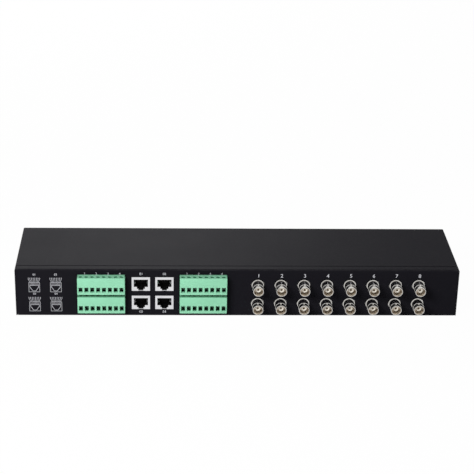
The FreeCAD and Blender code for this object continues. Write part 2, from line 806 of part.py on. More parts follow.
def mouth_outline(floor):
    """Mouth of a network jack with its stepped latch notch, down to a floor."""
    wide = S["mouth_width"] / 2
    notch = S["notch_width"] / 2
    latch = S["latch_width"] / 2
    return [
        (-latch, floor), (latch, floor), (latch, S["notch_rise"]), (notch, S["notch_rise"]),
        (notch, S["mouth_shoulder"]), (wide, S["mouth_shoulder"]), (wide, S["mouth_top"]),
        (-wide, S["mouth_top"]), (-wide, S["mouth_shoulder"]), (-notch, S["mouth_shoulder"]),
        (-notch, S["notch_rise"]), (-latch, S["notch_rise"]),
    ]


def make_network_shield(row, column, x):
    """Sheet shield round a network jack, with a spring finger on each side of the mouth."""
    body = new_body(f"network_jack_shield_{row}_{column}")
    place(body, x, network_front, board_top(row))
    half = S["network_width"] / 2
    wall = S["shield_wall"]
    outline = facing_sketch(body, ZERO)
    draw_box(outline, -half, ZERO, half, S["network_height"])
    pad(body, outline, S["network_depth"], reverse=True)
    inside = facing_sketch(body, wall)
    draw_box(inside, -(half - wall), wall, half - wall, S["network_height"] - wall)
    pocket(body, inside, S["network_depth"])
    mouth = facing_sketch(body, ZERO)
    draw_outline(mouth, mouth_outline(ZERO))
    pocket(body, mouth, wall)
    fingers = level_sketch(body, S["finger_rise"] - S["finger_height"] / 2)
    for side in (-1, 1):
        root = side * S["mouth_width"] / 2
        tip = side * (S["mouth_width"] / 2 - S["finger_reach"])
        draw_outline(fingers, [
            (root, ZERO),
            (tip, S["finger_length"] / 2),
            (tip, S["finger_length"]),
            (tip + side * wall, S["finger_length"]),
            (tip + side * wall, S["finger_length"] / 2 + wall),
            (root, wall),
        ])
    pad(body, fingers, S["finger_height"])


def make_network_housing(row, column, x):
    """Moulded insert of a network jack."""
    body = new_body(f"network_jack_housing_{row}_{column}")
    place(body, x, network_front, board_top(row))
    skin = S["shield_wall"] + S["housing_fit"]
    half = S["network_width"] / 2 - skin
    outline = facing_sketch(body, skin)
    draw_box(outline, -half, skin, half, S["network_height"] - skin)
    pad(body, outline, S["network_depth"] - skin, reverse=True)
    mouth = facing_sketch(body, ZERO)
    draw_outline(mouth, mouth_outline(S["housing_floor"]))
    pocket(body, mouth, S["mouth_depth"])


def make_network_wires(row):
    """Contact wires under the roof of each mouth."""
    body = new_body(f"network_jack_contacts_{row}")
    place(body, ZERO, network_front, board_top(row))
    roof = S["mouth_top"] - S["clamp_fit"]
    size = S["wire_size"]
    start = S["wire_setback"]
    knee = start + S["wire_slope"]
    fall = roof - S["wire_drop"]
    wires = []
    for middle in network_positions():
        wire = section_sketch(body, middle - S["wire_pitch"] * (S["wire_count"] - 1) / 2)
        draw_outline(wire, [
            (start, roof - size), (knee, fall), (S["mouth_depth"], fall),
            (S["mouth_depth"], fall + size), (knee, fall + size), (start, roof),
        ])
        wires.append(pad(body, wire, size, both=True))
    repeat(body, wires, S["wire_count"], S["wire_pitch"])


def make_video_shell(row, number, x):
    """Metal shell of a video jack: barrel with lugs, collar and body, bored for the insulator."""
    body = new_body(f"video_jack_shell_{row}_{number}")
    place(body, x, video_front, board_top(row) + S["video_rise"])
    front = S["barrel_front_diameter"] / 2
    rear = S["barrel_diameter"] / 2
    collar = S["collar_diameter"] / 2
    edge = S["collar_edge"]
    collar_face = S["video_reach"] - S["collar_proud"]
    body_face = block_front - video_front
    section = section_sketch(body)
    draw_outline(section, [
        (ZERO, ZERO),
        (ZERO, front),
        (S["barrel_step"], front),
        (S["barrel_step"] + rear - front, rear),
        (collar_face, rear),
        (collar_face, collar - edge),
        (collar_face + edge, collar),
        (body_face, collar),
        (body_face, ZERO),
    ])
    revolve(body, section)
    lugs = level_sketch(body, ZERO)
    draw_circle(lugs, ZERO, S["lug_setback"], S["lug_diameter"])
    pad(body, lugs, S["lug_span"], both=True)
    block = facing_sketch(body, body_face)
    half = S["block_width"] / 2
    draw_box(block, -half, -S["video_rise"], half, S["block_height"] - S["video_rise"])
    pad(body, block, S["block_depth"], reverse=True)
    bore = facing_sketch(body, ZERO)
    draw_circle(bore, ZERO, ZERO, S["barrel_bore"])
    pocket(body, bore, S["barrel_bore_depth"])
    seat = facing_sketch(body, S["barrel_bore_depth"])
    draw_circle(seat, ZERO, ZERO, S["insulator_base_diameter"] + 2 * S["insulator_fit"])
    pocket(body, seat, body_face + S["block_depth"] - S["barrel_bore_depth"])


def make_insulators(row):
    """White insulators of one row of video jacks."""
    body = new_body(f"video_jack_insulators_{row}")
    place(body, ZERO, video_front, board_top(row) + S["video_rise"])
    length = block_back - video_front
    x = S["first_video_x"]
    nose = facing_sketch(body, S["insulator_setback"])
    draw_circle(nose, x, ZERO, S["insulator_diameter"])
    base = facing_sketch(body, S["barrel_bore_depth"])
    draw_circle(base, x, ZERO, S["insulator_base_diameter"])
    bore = facing_sketch(body, S["insulator_setback"])
    draw_circle(bore, x, ZERO, S["contact_diameter"] + 2 * S["insulator_fit"])
    repeat_video(body, [
        pad(body, nose, S["barrel_bore_depth"] - S["insulator_setback"], reverse=True),
        pad(body, base, length - S["barrel_bore_depth"], reverse=True),
        pocket(body, bore, length - S["insulator_setback"]),
    ])


def make_video_contacts(row):
    """Centre contacts of one row, each with a tail down to the board."""
    body = new_body(f"video_jack_contacts_{row}")
    place(body, ZERO, video_front, board_top(row) + S["video_rise"])
    length = block_back - video_front
    x = S["first_video_x"]
    half = S["contact_diameter"] / 2
    pin = facing_sketch(body, S["contact_setback"])
    draw_circle(pin, x, ZERO, S["contact_diameter"])
    tail = facing_sketch(body, length)
    draw_box(tail, x - half, -S["video_rise"], x + half, half)
    bore = facing_sketch(body, S["contact_setback"])
    draw_circle(bore, x, ZERO, S["contact_bore"])
    repeat_video(body, [
        pad(body, pin, length - S["contact_setback"], reverse=True),
        pad(body, tail, S["contact_tail"], reverse=True),
        pocket(body, bore, S["contact_bore_depth"]),
    ])


def make_transformers(row):
    """One potted balun transformer for each video jack of the row."""
    body = new_body(f"balun_transformers_{row}")
    outline = level_sketch(body, board_top(row))
    middle = board_front + S["transformer_setback"]
    half_x = S["transformer_width"] / 2
    half_y = S["transformer_depth"] / 2
    for x in video_positions():
        draw_box(outline, x - half_x, middle - half_y, x + half_x, middle + half_y)
    pad(body, outline, S["transformer_height"])
    top = (board_top(row) + S["transformer_height"]).value

    def top_edge(edge, place_on_edge, span):
        return near(place_on_edge.z, top)

    dress(body, "Chamfer", S["transformer_edge"], top_edge)


def make_all():
    make_chassis()
    make_cover()
    make_cover_screws()
    make_standoffs()
    make_spacers()
    make_board_screws()
    for row in ROWS:
        make_board(row)
        make_transformers(row)
        make_insulators(row)
        make_video_contacts(row)
        make_network_wires(row)
        for number, x in enumerate(video_positions(), start=1):
            make_video_shell(row, number, x)
        for column, x in zip(("left", "right"), network_positions()):
            make_network_shield(row, column, x)
            make_network_housing(row, column, x)
        for side in STACKS:
            make_header(row, side)
            make_header_pins(row, side)
            make_plug(row, side)
            make_clamps(row, side)
            make_clamp_screws(row, side)


def write_parts():
    """Check every object and shape, then write one file for each node."""
    doc.recompute()
    for item in doc.Objects:
        if "Invalid" in item.State or "Error" in item.State:
            raise ValueError(f"{item.Label} failed: {item.State}")
    for node in nodes:
        if node.Shape.isNull() or not node.Shape.isValid() or not node.Shape.Solids:
            raise ValueError(f"{node.Label} has no valid solid")
    os.makedirs("parts", exist_ok=True)
    for node in nodes:
        node.Shape.exportStep(f"parts/{node.Label}.step")
        print(node.Label, len(node.Shape.Solids), round(node.Shape.Volume, 1))


make_all()
write_parts()
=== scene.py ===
# %% [markdown]
# # A sixteen channel video balun in Blender
# The object is a flat box of folded black steel, about one rack unit high. Its connector side
# carries sixteen coaxial video jacks, four network jacks and four plug-in terminal blocks. The
# CAD model holds every solid piece at its true size, so this script loads it as a fixed frame,
# and adds what solids alone do not show: finishes, print, rounded edges, light and a camera.

import json
import math

import bmesh
import bpy
from mathutils import Matrix, Vector


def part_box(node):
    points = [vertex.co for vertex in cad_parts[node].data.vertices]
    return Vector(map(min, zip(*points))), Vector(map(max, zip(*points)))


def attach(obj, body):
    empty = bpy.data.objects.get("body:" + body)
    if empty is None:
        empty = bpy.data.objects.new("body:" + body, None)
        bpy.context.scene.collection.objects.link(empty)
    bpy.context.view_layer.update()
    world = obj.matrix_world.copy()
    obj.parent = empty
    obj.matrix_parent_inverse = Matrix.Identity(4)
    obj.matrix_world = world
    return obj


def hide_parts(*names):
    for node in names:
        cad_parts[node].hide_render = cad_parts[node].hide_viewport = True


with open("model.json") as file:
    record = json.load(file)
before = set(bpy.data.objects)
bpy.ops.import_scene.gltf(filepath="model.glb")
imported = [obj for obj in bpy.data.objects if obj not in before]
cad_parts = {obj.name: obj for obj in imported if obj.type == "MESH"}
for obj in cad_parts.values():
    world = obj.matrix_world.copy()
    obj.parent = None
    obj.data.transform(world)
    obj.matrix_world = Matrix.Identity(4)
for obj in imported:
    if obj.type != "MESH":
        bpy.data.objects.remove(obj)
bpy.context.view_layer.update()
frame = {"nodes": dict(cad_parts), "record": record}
mm = 0.001

# %% [markdown]
# ## Places from the frame
# Everything that this script adds sits on a piece of the frame. Places are read from the boxes of
# the CAD nodes, so they stay right when a size changes. The connector panel is the lowest Y of
# the chassis, and the plain front is the highest. The sizes of a few holes stand here too,
# because finishes and pieces both use them.

# %% Read the shared places
ROWS = ("lower", "upper")
SIDES = ("left", "right")
BLOCKS = [(row, side) for row in ROWS for side in SIDES]
VIDEO_COUNT = 8
POLE_COUNT = 8
POLE_PITCH = 5.08 * mm
WELL = 1.6 * mm
WELL_SETBACK = 3.8 * mm
BORE = 4.05 * mm
AXIS_RISE = 5.75 * mm
case_low, case_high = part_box("chassis")
cover_low, cover_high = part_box("top_cover")
panel_y = case_low.y
front_y = case_high.y


def middle_of(node):
    """Middle of a CAD node's box."""
    low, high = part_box(node)
    return (low + high) / 2


video_x = [middle_of(f"video_jack_shell_upper_{n}").x for n in range(1, VIDEO_COUNT + 1)]
video_pitch = (video_x[-1] - video_x[0]) / (VIDEO_COUNT - 1)
axis_z = {row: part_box(f"video_jack_shell_{row}_1")[0].z + AXIS_RISE for row in ROWS}
first_well = {side: middle_of(f"terminal_plug_upper_{side}").x - POLE_PITCH * (POLE_COUNT - 1) / 2
              for side in SIDES}
well_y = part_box("terminal_plug_upper_left")[0].y + WELL_SETBACK
print("panel at", round(panel_y / mm, 2), "mm, video jacks every", round(video_pitch / mm, 2), "mm")

# %% [markdown]
# ## Shared effects as node groups
# Real finishes are never one flat colour. Paint has orange peel, plastic a moulded skin, and
# turned metal keeps rings from the tool. Several materials share each effect, so each is a shader
# node group with named inputs. A material places the group with its own values and decides what
# the mask or the height drives. The groups read Object coordinates, so the patterns stay put when
# a piece moves.

# %% Helpers for node trees
def new_effect(name, inputs, build):
    """A shader group with float or vector inputs; build returns its float outputs by name."""
    tree = bpy.data.node_groups.new(name, "ShaderNodeTree")
    for label, value in {"Position": (0, 0, 0), **inputs}.items():
        kind = "NodeSocketVector" if isinstance(value, tuple) else "NodeSocketFloat"
        socket = tree.interface.new_socket(label, in_out="INPUT", socket_type=kind)
        socket.default_value = value
    results = build(tree, tree.nodes.new("NodeGroupInput").outputs)
    for label in results:
        tree.interface.new_socket(label, in_out="OUTPUT", socket_type="NodeSocketFloat")
    ends = tree.nodes.new("NodeGroupOutput").inputs
    for label, value in results.items():
        tree.links.new(value, ends[label])
    print(name, "nodes:", len(tree.nodes))
    return tree


def add_node(tree, kind, inputs, **settings):
    """A node with its settings; each input is a socket to link or a value to set."""
    node = tree.nodes.new(kind)
    for label, value in settings.items():
        setattr(node, label, value)
    for label, value in inputs.items():
        if isinstance(value, bpy.types.NodeSocket):
            tree.links.new(value, node.inputs[label])
        else:
            node.inputs[label].default_value = value
    return node


def add_math(tree, operation, first, second, clamp=False):
    """One math node; each side is a socket or a number."""
    return add_node(tree, "ShaderNodeMath", {0: first, 1: second},
                    operation=operation, use_clamp=clamp).outputs[0]


def add_vector_math(tree, operation, *sides):
    return add_node(tree, "ShaderNodeVectorMath", dict(enumerate(sides)),
                    operation=operation).outputs[0]


def add_noise(tree, place, scale, detail, roughness=0.5):
    """A noise texture on the given place; the scale is a socket or a number."""
    return add_node(tree, "ShaderNodeTexNoise", {
        "Vector": place, "Scale": scale, "Detail": detail, "Roughness": roughness}).outputs["Fac"]


# %% [markdown]
# ### Fine grain
# Powder paint and moulded plastic have a skin of small bumps with a finer roughness on top. Two
# noises, one four times finer, give the height, and a slow one gives a mask for the colour.

# %% Fine grain group
FINER = 4.0
FINE_SHARE = 0.35


def build_fine_grain(tree, given):
    coarse = add_noise(tree, given["Position"], given["Bumps"], 2.0)
    finer = add_math(tree, "MULTIPLY", given["Bumps"], FINER)
    fine = add_noise(tree, given["Position"], finer, 1.0)
    height = add_math(tree, "ADD", coarse, add_math(tree, "MULTIPLY", fine, FINE_SHARE))
    patches = add_noise(tree, given["Position"], given["Patches"], 4.0, 0.6)
    return {"Height": height, "Patch Mask": patches}


fine_grain = new_effect("fine_grain", {"Bumps": 900.0, "Patches": 14.0}, build_fine_grain)

# %% [markdown]
# ### Rubbed edges
# Handling polishes paint along outer edges first. The group measures how near a point is to at
# least two faces of a box, and breaks the band up with noise.

# %% Rubbed edges group
BREAK_GAIN = 2.6
BREAK_CUT = 0.8


def build_rubbed_edges(tree, given):
    shifted = add_vector_math(tree, "SUBTRACT", given["Position"], given["Centre"])
    mirrored = add_vector_math(tree, "ABSOLUTE", shifted)
    inward = add_vector_math(tree, "SUBTRACT", given["Half Size"], mirrored)
    x, y, z = add_node(tree, "ShaderNodeSeparateXYZ", {0: inward}).outputs
    # The second smallest of the three depths is small only near an edge.
    smaller_xy = add_math(tree, "MINIMUM", x, y)
    larger_xy = add_math(tree, "MAXIMUM", x, y)
    second = add_math(tree, "MAXIMUM", smaller_xy, add_math(tree, "MINIMUM", larger_xy, z))
    ratio = add_math(tree, "DIVIDE", second, given["Reach"])
    near = add_math(tree, "SUBTRACT", 1.0, ratio, clamp=True)
    breaks = add_noise(tree, given["Position"], given["Breaks"], 5.0, 0.65)
    patchy = add_math(tree, "SUBTRACT", add_math(tree, "MULTIPLY", breaks, BREAK_GAIN), BREAK_CUT,
                      clamp=True)
    return {"Mask": add_math(tree, "MULTIPLY", near, patchy)}


rubbed_edges = new_effect("rubbed_edges", {
    "Centre": (0, 0, 0), "Half Size": (1, 1, 1), "Reach": 0.001, "Breaks": 120.0},
    build_rubbed_edges)

# %% [markdown]
# ### Turned rings
# A lathe leaves fine rings round the axis of a jack or a screw. A noise that changes along the
# axis alone looks the same all the way round, so it gives rings without knowing where the axis
# lies.

# %% Turned rings group
def build_turned_rings(tree, given):
    parts = add_node(tree, "ShaderNodeSeparateXYZ", {0: given["Position"]})
    axis_only = add_node(tree, "ShaderNodeCombineXYZ", {"Y": parts.outputs["Y"]})
    rings = add_noise(tree, axis_only.outputs[0], given["Rings"], 2.0, 0.7)
    stains = add_noise(tree, given["Position"], given["Stains"], 5.0, 0.6)
    return {"Height": rings, "Stain Mask": stains}


turned_rings = new_effect("turned_rings", {"Rings": 5000.0, "Stains": 160.0}, build_turned_rings)

# %% [markdown]
# ### Settled dust
# Dust lies where a face looks up. The group reads the normal's Z in the piece's own frame and
# breaks the layer up with two noises. It also gives the bare upward share, which the lower
# terminal blocks use for painted shade.

# %% Settled dust group
CLOUDS = 9.0
SPECK_GAIN = 6.0
SPECK_CUT = 3.6


def build_settled_dust(tree, given):
    parts = add_node(tree, "ShaderNodeSeparateXYZ", {0: given["Facing"]})
    upward = add_math(tree, "MULTIPLY", parts.outputs["Z"], 1.0, clamp=True)
    cloud = add_noise(tree, given["Position"], CLOUDS, 5.0, 0.6)
    specks = add_noise(tree, given["Position"], given["Specks"], 2.0, 0.6)
    sharp = add_math(tree, "SUBTRACT", add_math(tree, "MULTIPLY", specks, SPECK_GAIN), SPECK_CUT,
                     clamp=True)
    layer = add_math(tree, "MULTIPLY", add_math(tree, "MULTIPLY", cloud, upward), sharp)
    return {"Mask": layer, "Upward": upward}


settled_dust = new_effect(
    "settled_dust", {"Facing": (0, 0, 1), "Specks": 1400.0}, build_settled_dust)

# %% [markdown]
# ### Rows of holes
# The screw wells of the terminal blocks and the bores of the video jacks are painted darker as
# shade. The group tells whether a point lies in one of a row of holes: it subtracts the first
# hole's place, wraps the rest into one pitch, and measures the distance in the plane of the holes.

# %% Rows of holes group
def build_hole_rows(tree, given):
    high, low = (
        add_node(tree, "ShaderNodeVectorMath", {0: given["Pitch"], "Scale": share},
                 operation="SCALE").outputs[0]
        for share in (0.5, -0.5))
    shifted = add_vector_math(tree, "SUBTRACT", given["Position"], given["First"])
    wrapped = add_vector_math(tree, "WRAP", shifted, high, low)
    flat = add_vector_math(tree, "MULTIPLY", wrapped, given["Plane"])
    reach = add_node(tree, "ShaderNodeVectorMath", {0: flat}, operation="LENGTH").outputs["Value"]
    return {"Mask": add_math(tree, "LESS_THAN", reach, given["Radius"])}


hole_rows = new_effect("hole_rows", {
    "First": (0, 0, 0), "Pitch": (1, 1, 1), "Plane": (1, 1, 0), "Radius": 0.001}, build_hole_rows)

# %% [markdown]
# ## Building a material
# This class keeps a material's nodes, links and Principled shader together. Small methods place
# an effect, mix two colours by a mask, spread a mask over a range and turn a height into a bump.
# Values that are the same all over a surface go straight onto the shader's sockets, because an
# export can read them there.

# %% The finish class
class Finish:
    """A material under construction."""

    def __init__(self, name, roughness=0.5, metallic=0.0, specular=0.5):
        self.material = bpy.data.materials.new(name)
        self.material.use_nodes = True
        self.tree = self.material.node_tree
        self.shader = self.tree.nodes["Principled BSDF"]
        self.shader.inputs["Roughness"].default_value = roughness
        self.shader.inputs["Metallic"].default_value = metallic
        self.shader.inputs["Specular IOR Level"].default_value = specular
        self.coordinates = self.tree.nodes.new("ShaderNodeTexCoord").outputs

    def effect(self, group, **values):
        """Outputs of a shared effect; underscores in the names of its inputs stand for spaces."""
        inputs = {label.replace("_", " "): value for label, value in values.items()}
        inputs["Position"] = self.coordinates["Object"]
        if group == settled_dust:
            inputs["Facing"] = self.coordinates["Normal"]
        return add_node(self.tree, "ShaderNodeGroup", inputs, node_tree=group).outputs

    def blend_colours(self, mask, first, second):
        """Mix a colour, or an earlier mix, with another colour by a mask."""
        return add_node(self.tree, "ShaderNodeMix", {"Factor": mask, "A": first, "B": second},
                        data_type="RGBA").outputs["Result"]

    def spread(self, mask, low, high, start=0.0, end=1.0):
        """Map a mask from start and end to low and high."""
        return add_node(self.tree, "ShaderNodeMapRange", {
            "Value": mask, "From Min": start, "From Max": end, "To Min": low,
            "To Max": high}).outputs["Result"]

    def bump(self, height, distance, strength):
        """Turn a height into a normal for the shader."""
        node = add_node(self.tree, "ShaderNodeBump", {
            "Strength": strength, "Distance": distance, "Height": height})
        self.drive("Normal", node.outputs["Normal"])

    def drive(self, socket, value):
        self.tree.links.new(value, self.shader.inputs[socket])


def colour(red, green, blue):
    """Linear colour from the numbers that a picture shows, 0 to 255."""
    linear = (((c / 255 + 0.055) / 1.055) ** 2.4 if c > 10 else c / 255 / 12.92
              for c in (red, green, blue))
    return (*linear, 1.0)


# %% [markdown]
# ## Black powder coat
# The folded steel has a fine matt powder coat, dark grey along its top and nearly black with a
# hint of blue from the front. The paint reflects little, its bumps are under a millimetre wide,
# and its outer edges are rubbed a shade lighter.

# %% Paint the case
case_centre = (cover_low + cover_high) / 2
case_half = (cover_high - cover_low) / 2


def make_powder_coat(name, dark, light, rub):
    finish = Finish(name, specular=0.02)
    grain = finish.effect(fine_grain, Bumps=1100.0, Patches=11.0)
    edges = finish.effect(rubbed_edges, Centre=tuple(case_centre), Half_Size=tuple(case_half),
                          Reach=1.1 * mm, Breaks=90.0)
    dust = finish.effect(settled_dust, Specks=1600.0)
    base = finish.blend_colours(grain["Patch Mask"], dark, light)
    rubbed = finish.blend_colours(finish.spread(edges["Mask"], 0.0, 0.5), base, rub)
    finish.drive("Base Color", finish.blend_colours(
        finish.spread(dust["Mask"], 0.0, 0.25), rubbed, colour(120, 118, 114)))
    finish.drive("Roughness", finish.spread(grain["Patch Mask"], 0.44, 0.58))
    finish.bump(grain["Height"], 0.05 * mm, 0.6)
    return finish.material


black_paint = make_powder_coat(
    "black_powder_coat", colour(23, 22, 27), colour(29, 28, 33), colour(70, 68, 70))
print("powder coat nodes:", len(black_paint.node_tree.nodes))

# %% [markdown]
# ## Moulded plastics
# The terminal blocks are mint green with a satin skin, the network jack inserts black, and the
# insulators in the video jacks a warm white. One function makes them all. It can paint shade into
# a row of screw wells, and paint shade on faces that look up: on the lower blocks this stands for
# the shadow in the gap under the upper ones, which shows as a dark line.

# %% Mould the plastics
HOLE_SPARE = 0.05 * mm
GAP_SHADE_START = 0.15
GAP_SHADE_FULL = 0.6


def make_plastic(name, base, shade, roughness, specular=0.4, bumps=1500.0, wells=None, gap_shade=0.0):
    """Moulded plastic; wells is the X of the first screw well, and the last argument the share of
    painted shade on upward faces.
    """
    finish = Finish(name, specular=specular)
    skin = finish.effect(fine_grain, Bumps=bumps, Patches=60.0)
    dust = finish.effect(settled_dust, Specks=2200.0)
    tone = finish.blend_colours(skin["Patch Mask"], shade, base)
    tone = finish.blend_colours(finish.spread(dust["Mask"], 0.0, 0.12), tone, colour(205, 203, 196))
    if wells is not None:
        # Painted shade: the screw wells are darkened for the shade that falls into them.
        holes = finish.effect(hole_rows, First=(wells, well_y, 0), Pitch=(POLE_PITCH, 1.0, 1.0),
                              Plane=(1, 1, 0), Radius=WELL + HOLE_SPARE)
        tone = finish.blend_colours(holes["Mask"], tone, colour(48, 112, 80))
    if gap_shade:
        # Painted shade: upward faces of the lower blocks are darkened to stand for the shadow under
        # the upper blocks.
        gap_shaded = finish.spread(dust["Upward"], 0.0, gap_shade, GAP_SHADE_START, GAP_SHADE_FULL)
        tone = finish.blend_colours(gap_shaded, tone, colour(52, 112, 80))
    finish.drive("Base Color", tone)
    finish.drive("Roughness", finish.spread(skin["Patch Mask"], roughness - 0.05, roughness + 0.07))
    finish.bump(skin["Height"], 0.02 * mm, 0.5)
    return finish.material


MINT = (colour(153, 223, 186), colour(144, 214, 175))
# Share of painted shade on upward faces per row; the lower row lies in the upper row's shadow.
PAINTED_GAP_SHADE = {"lower": 0.65, "upper": 0.0}
mint_plastic = make_plastic("mint_green_plastic", *MINT, 0.42)
block_plastic = {
    (row, side): make_plastic(f"mint_green_block_{row}_{side}", *MINT, 0.42,
                              wells=first_well[side], gap_shade=PAINTED_GAP_SHADE[row])
    for row, side in BLOCKS}
header_plastic = make_plastic(
    "header_green_plastic", colour(88, 178, 132), colour(78, 165, 120), 0.45)
black_plastic = make_plastic(
    "black_moulded_plastic", colour(14, 14, 15), colour(9, 9, 10), 0.4, specular=0.3)
white_plastic = make_plastic("cream_insulator", colour(255, 252, 244), colour(252, 245, 230), 0.38)
print("plastics:", mint_plastic.name, black_plastic.name, white_plastic.name)

# %% [markdown]
# ## Plated metals
# The video jacks are nickel plated brass, a bright silver that mirrors the dark panel and the
# white room. The network jacks' shields are tinned sheet, and screws and spacers are zinc plated.
# Clamps, clamp screws and centre contacts sit deep in their holes, so their colours are painted
# dark as shade.
# Stains lower the shine in patches, and rings from the lathe stretch the highlights.

# %% Plate the metals
def make_plated(name, bright, stained, roughness, rings=5200.0, ring_height=0.004 * mm, painted_bore_shade=None):
    """Plated metal; the last argument gives the painted shade inside the bores of the video jacks.
    """
    finish = Finish(name, metallic=1.0)
    marks = finish.effect(turned_rings, Rings=rings, Stains=170.0)
    tone = finish.blend_colours(marks["Stain Mask"], bright, stained)
    if painted_bore_shade is not None:
        # Painted shade: inside the bores of the video jacks the tone is darker and warmer, for the
        # shade there.
        pitch = (video_pitch, 1.0, axis_z["upper"] - axis_z["lower"])
        holes = finish.effect(hole_rows, First=(video_x[0], 0, axis_z["lower"]), Pitch=pitch,
                              Plane=(1, 0, 1), Radius=BORE + HOLE_SPARE)
        tone = finish.blend_colours(holes["Mask"], tone, painted_bore_shade)
    finish.drive("Base Color", tone)
    finish.drive("Roughness", finish.spread(
        marks["Stain Mask"], roughness, roughness + 0.14, 0.3, 0.7))
    finish.bump(marks["Height"], ring_height, 0.5)
    return finish.material


# Inside the bores the nickel is painted a darker, warmer tone as shade.
nickel = make_plated("bright_nickel", colour(226, 225, 222), colour(192, 189, 184), 0.15,
                     painted_bore_shade=colour(217, 209, 199))
tin = make_plated("tinned_sheet", colour(236, 236, 238), colour(214, 214, 217), 0.26,
                  rings=900.0, ring_height=0.002 * mm)
zinc = make_plated("zinc_plating", colour(196, 198, 202), colour(170, 170, 168), 0.3)
# Painted shade: clamps, clamp screws and centre contacts get dark colours for the shade deep in
# their holes.
shaded_steel = make_plated("painted_shade_clamp_steel", colour(62, 66, 64), colour(40, 43, 42), 0.45)
shade_darkened_gilt = make_plated("painted_shade_gilt_contacts", colour(146, 122, 92), colour(112, 92, 68), 0.4)
gilt = make_plated("gilt_contacts", colour(216, 170, 96), colour(186, 140, 74), 0.22)
black_screw = make_plated("blackened_screws", colour(38, 37, 38), colour(27, 26, 27), 0.4)
print("metals:", nickel.name, tin.name, zinc.name, gilt.name)

# %% [markdown]
# ## Circuit boards and transformers
# Two green boards show through the openings only, but they are finished too: solder mask over
# faint copper tracks, which are the raised joints of a brick pattern. The transformers are potted
# in near black resin.

# %% Print the boards
BLANK = (0.0, 0.0, 0.0, 1.0)
WHITE = (1.0, 1.0, 1.0, 1.0)


def make_solder_mask():
    finish = Finish("green_solder_mask")
    grain = finish.effect(fine_grain, Bumps=700.0, Patches=45.0)
    bricks = add_node(finish.tree, "ShaderNodeTexBrick", {
        "Vector": finish.coordinates["Object"], "Scale": 120.0, "Mortar Size": 0.035,
        "Color1": BLANK, "Color2": BLANK, "Mortar": WHITE})
    tracks = bricks.outputs["Color"]
    tone = finish.blend_colours(grain["Patch Mask"], colour(16, 74, 42), colour(22, 88, 52))
    finish.drive("Base Color", finish.blend_colours(tracks, tone, colour(48, 128, 78)))
    finish.drive("Roughness", finish.spread(grain["Patch Mask"], 0.24, 0.36))
    finish.bump(tracks, 0.03 * mm, 0.6)
    return finish.material


solder_mask = make_solder_mask()
potting = make_plastic("potted_transformer", colour(30, 30, 33), colour(22, 22, 24), 0.35)
print("board material nodes:", len(solder_mask.node_tree.nodes))

# %% [markdown]
# ## Finishes for the CAD nodes
# The record names a material slot for each node, and the table says which finish stands for which
# slot. The nodes stay as they are, and only their material slots are filled.

# %% Assign the finishes
FINISH_OF_SLOT = {
    "black_paint": black_paint,
    "black_screw": black_screw,
    "steel": zinc,
    "tin": tin,
    "nickel": nickel,
    "brass": gilt,
    "white_plastic": white_plastic,
    "green_plastic": mint_plastic,
    "black_plastic": black_plastic,
    "board": solder_mask,
    "ferrite": potting,
}


def dress(piece, finish):
    piece.data.materials.clear()
    piece.data.materials.append(finish)


for part in frame["record"]["subparts"]:
    dress(frame["nodes"][part["node"]], FINISH_OF_SLOT[part["material_slot"]])
for row, side in BLOCKS:
    dress(frame["nodes"][f"terminal_header_{row}_{side}"], header_plastic)
    dress(frame["nodes"][f"plug_clamps_{row}_{side}"], shaded_steel)

# %% [markdown]
# ## Helpers for making pieces
# A piece is modelled round its own origin, in metres. Its place then goes into its mesh, so that
# the object sits at the origin like a CAD node.

# %% Piece helpers
def new_piece(name, mesh, finish):
    piece = bpy.data.objects.new(name, mesh)
    bpy.context.scene.collection.objects.link(piece)
    dress(piece, finish)
    return piece


def piece_from(name, builder, finish):
    """A piece from a bmesh."""
    mesh = bpy.data.meshes.new(name)
    builder.to_mesh(mesh)
    builder.free()
    return new_piece(name, mesh, finish)


def solid_from(name, builder, finish):
    """A piece from a bmesh, with its faces pointing outwards."""
    bmesh.ops.recalc_face_normals(builder, faces=builder.faces[:])
    return piece_from(name, builder, finish)


def settle(piece, sharp_angle=35):
    """Turn modifiers into plain mesh, drop them, and shade smooth between sharp edges."""
    graph = bpy.context.evaluated_depsgraph_get()
    mesh = bpy.data.meshes.new_from_object(piece.evaluated_get(graph))
    piece.modifiers.clear()
    piece.data = mesh
    mesh.name = piece.name
    mesh.shade_smooth()
    mesh.set_sharp_from_angle(angle=math.radians(sharp_angle))
    return piece


def move_mesh(piece, *steps):
    for step in steps:
        piece.data.transform(step)
    piece.data.update()
    return piece


def join(name, pieces):
    """One piece from several, keeping the finish of the first."""
    builder = bmesh.new()
    for piece in pieces:
        builder.from_mesh(piece.data)
    finish = pieces[0].data.materials[0]
    for piece in pieces:
        bpy.data.objects.remove(piece)
    return piece_from(name, builder, finish)


def use_tool(piece, tool, operation):
    """Cut with, or add, another piece by an exact boolean."""
    change = piece.modifiers.new("shape", "BOOLEAN")
    change.operation = operation
    change.solver = "EXACT"
    change.use_self = True
    change.object = tool
    settle(piece)
    bpy.data.objects.remove(tool)
    return piece

# %% [markdown]
# ### Turned and boxed shapes
# Most pieces are turned or start as a box. Blender's primitives could be spun and bevelled, but
# two small functions take sizes straight from a drawing.

# %% Lathe and box
def lathe(name, outline, finish, segments=48):
    """Turn an outline of (depth, radius) points round the Y axis; radius 0 closes on the axis."""
    builder = bmesh.new()
    angles = [math.tau * step / segments for step in range(segments)]
    rings = []
    for depth, radius in outline:
        if radius == 0:
            rings.append([builder.verts.new((0, depth, 0))] * segments)
        else:
            rings.append([
                builder.verts.new((radius * math.cos(angle), depth, radius * math.sin(angle)))
                for angle in angles])
    for ring, following in zip(rings, rings[1:] + rings[:1]):
        for step in range(segments):
            after = (step + 1) % segments
            corners = list(dict.fromkeys(
                (ring[step], ring[after], following[after], following[step])))
            if len(corners) > 2:
                builder.faces.new(corners)
    return solid_from(name, builder, finish)


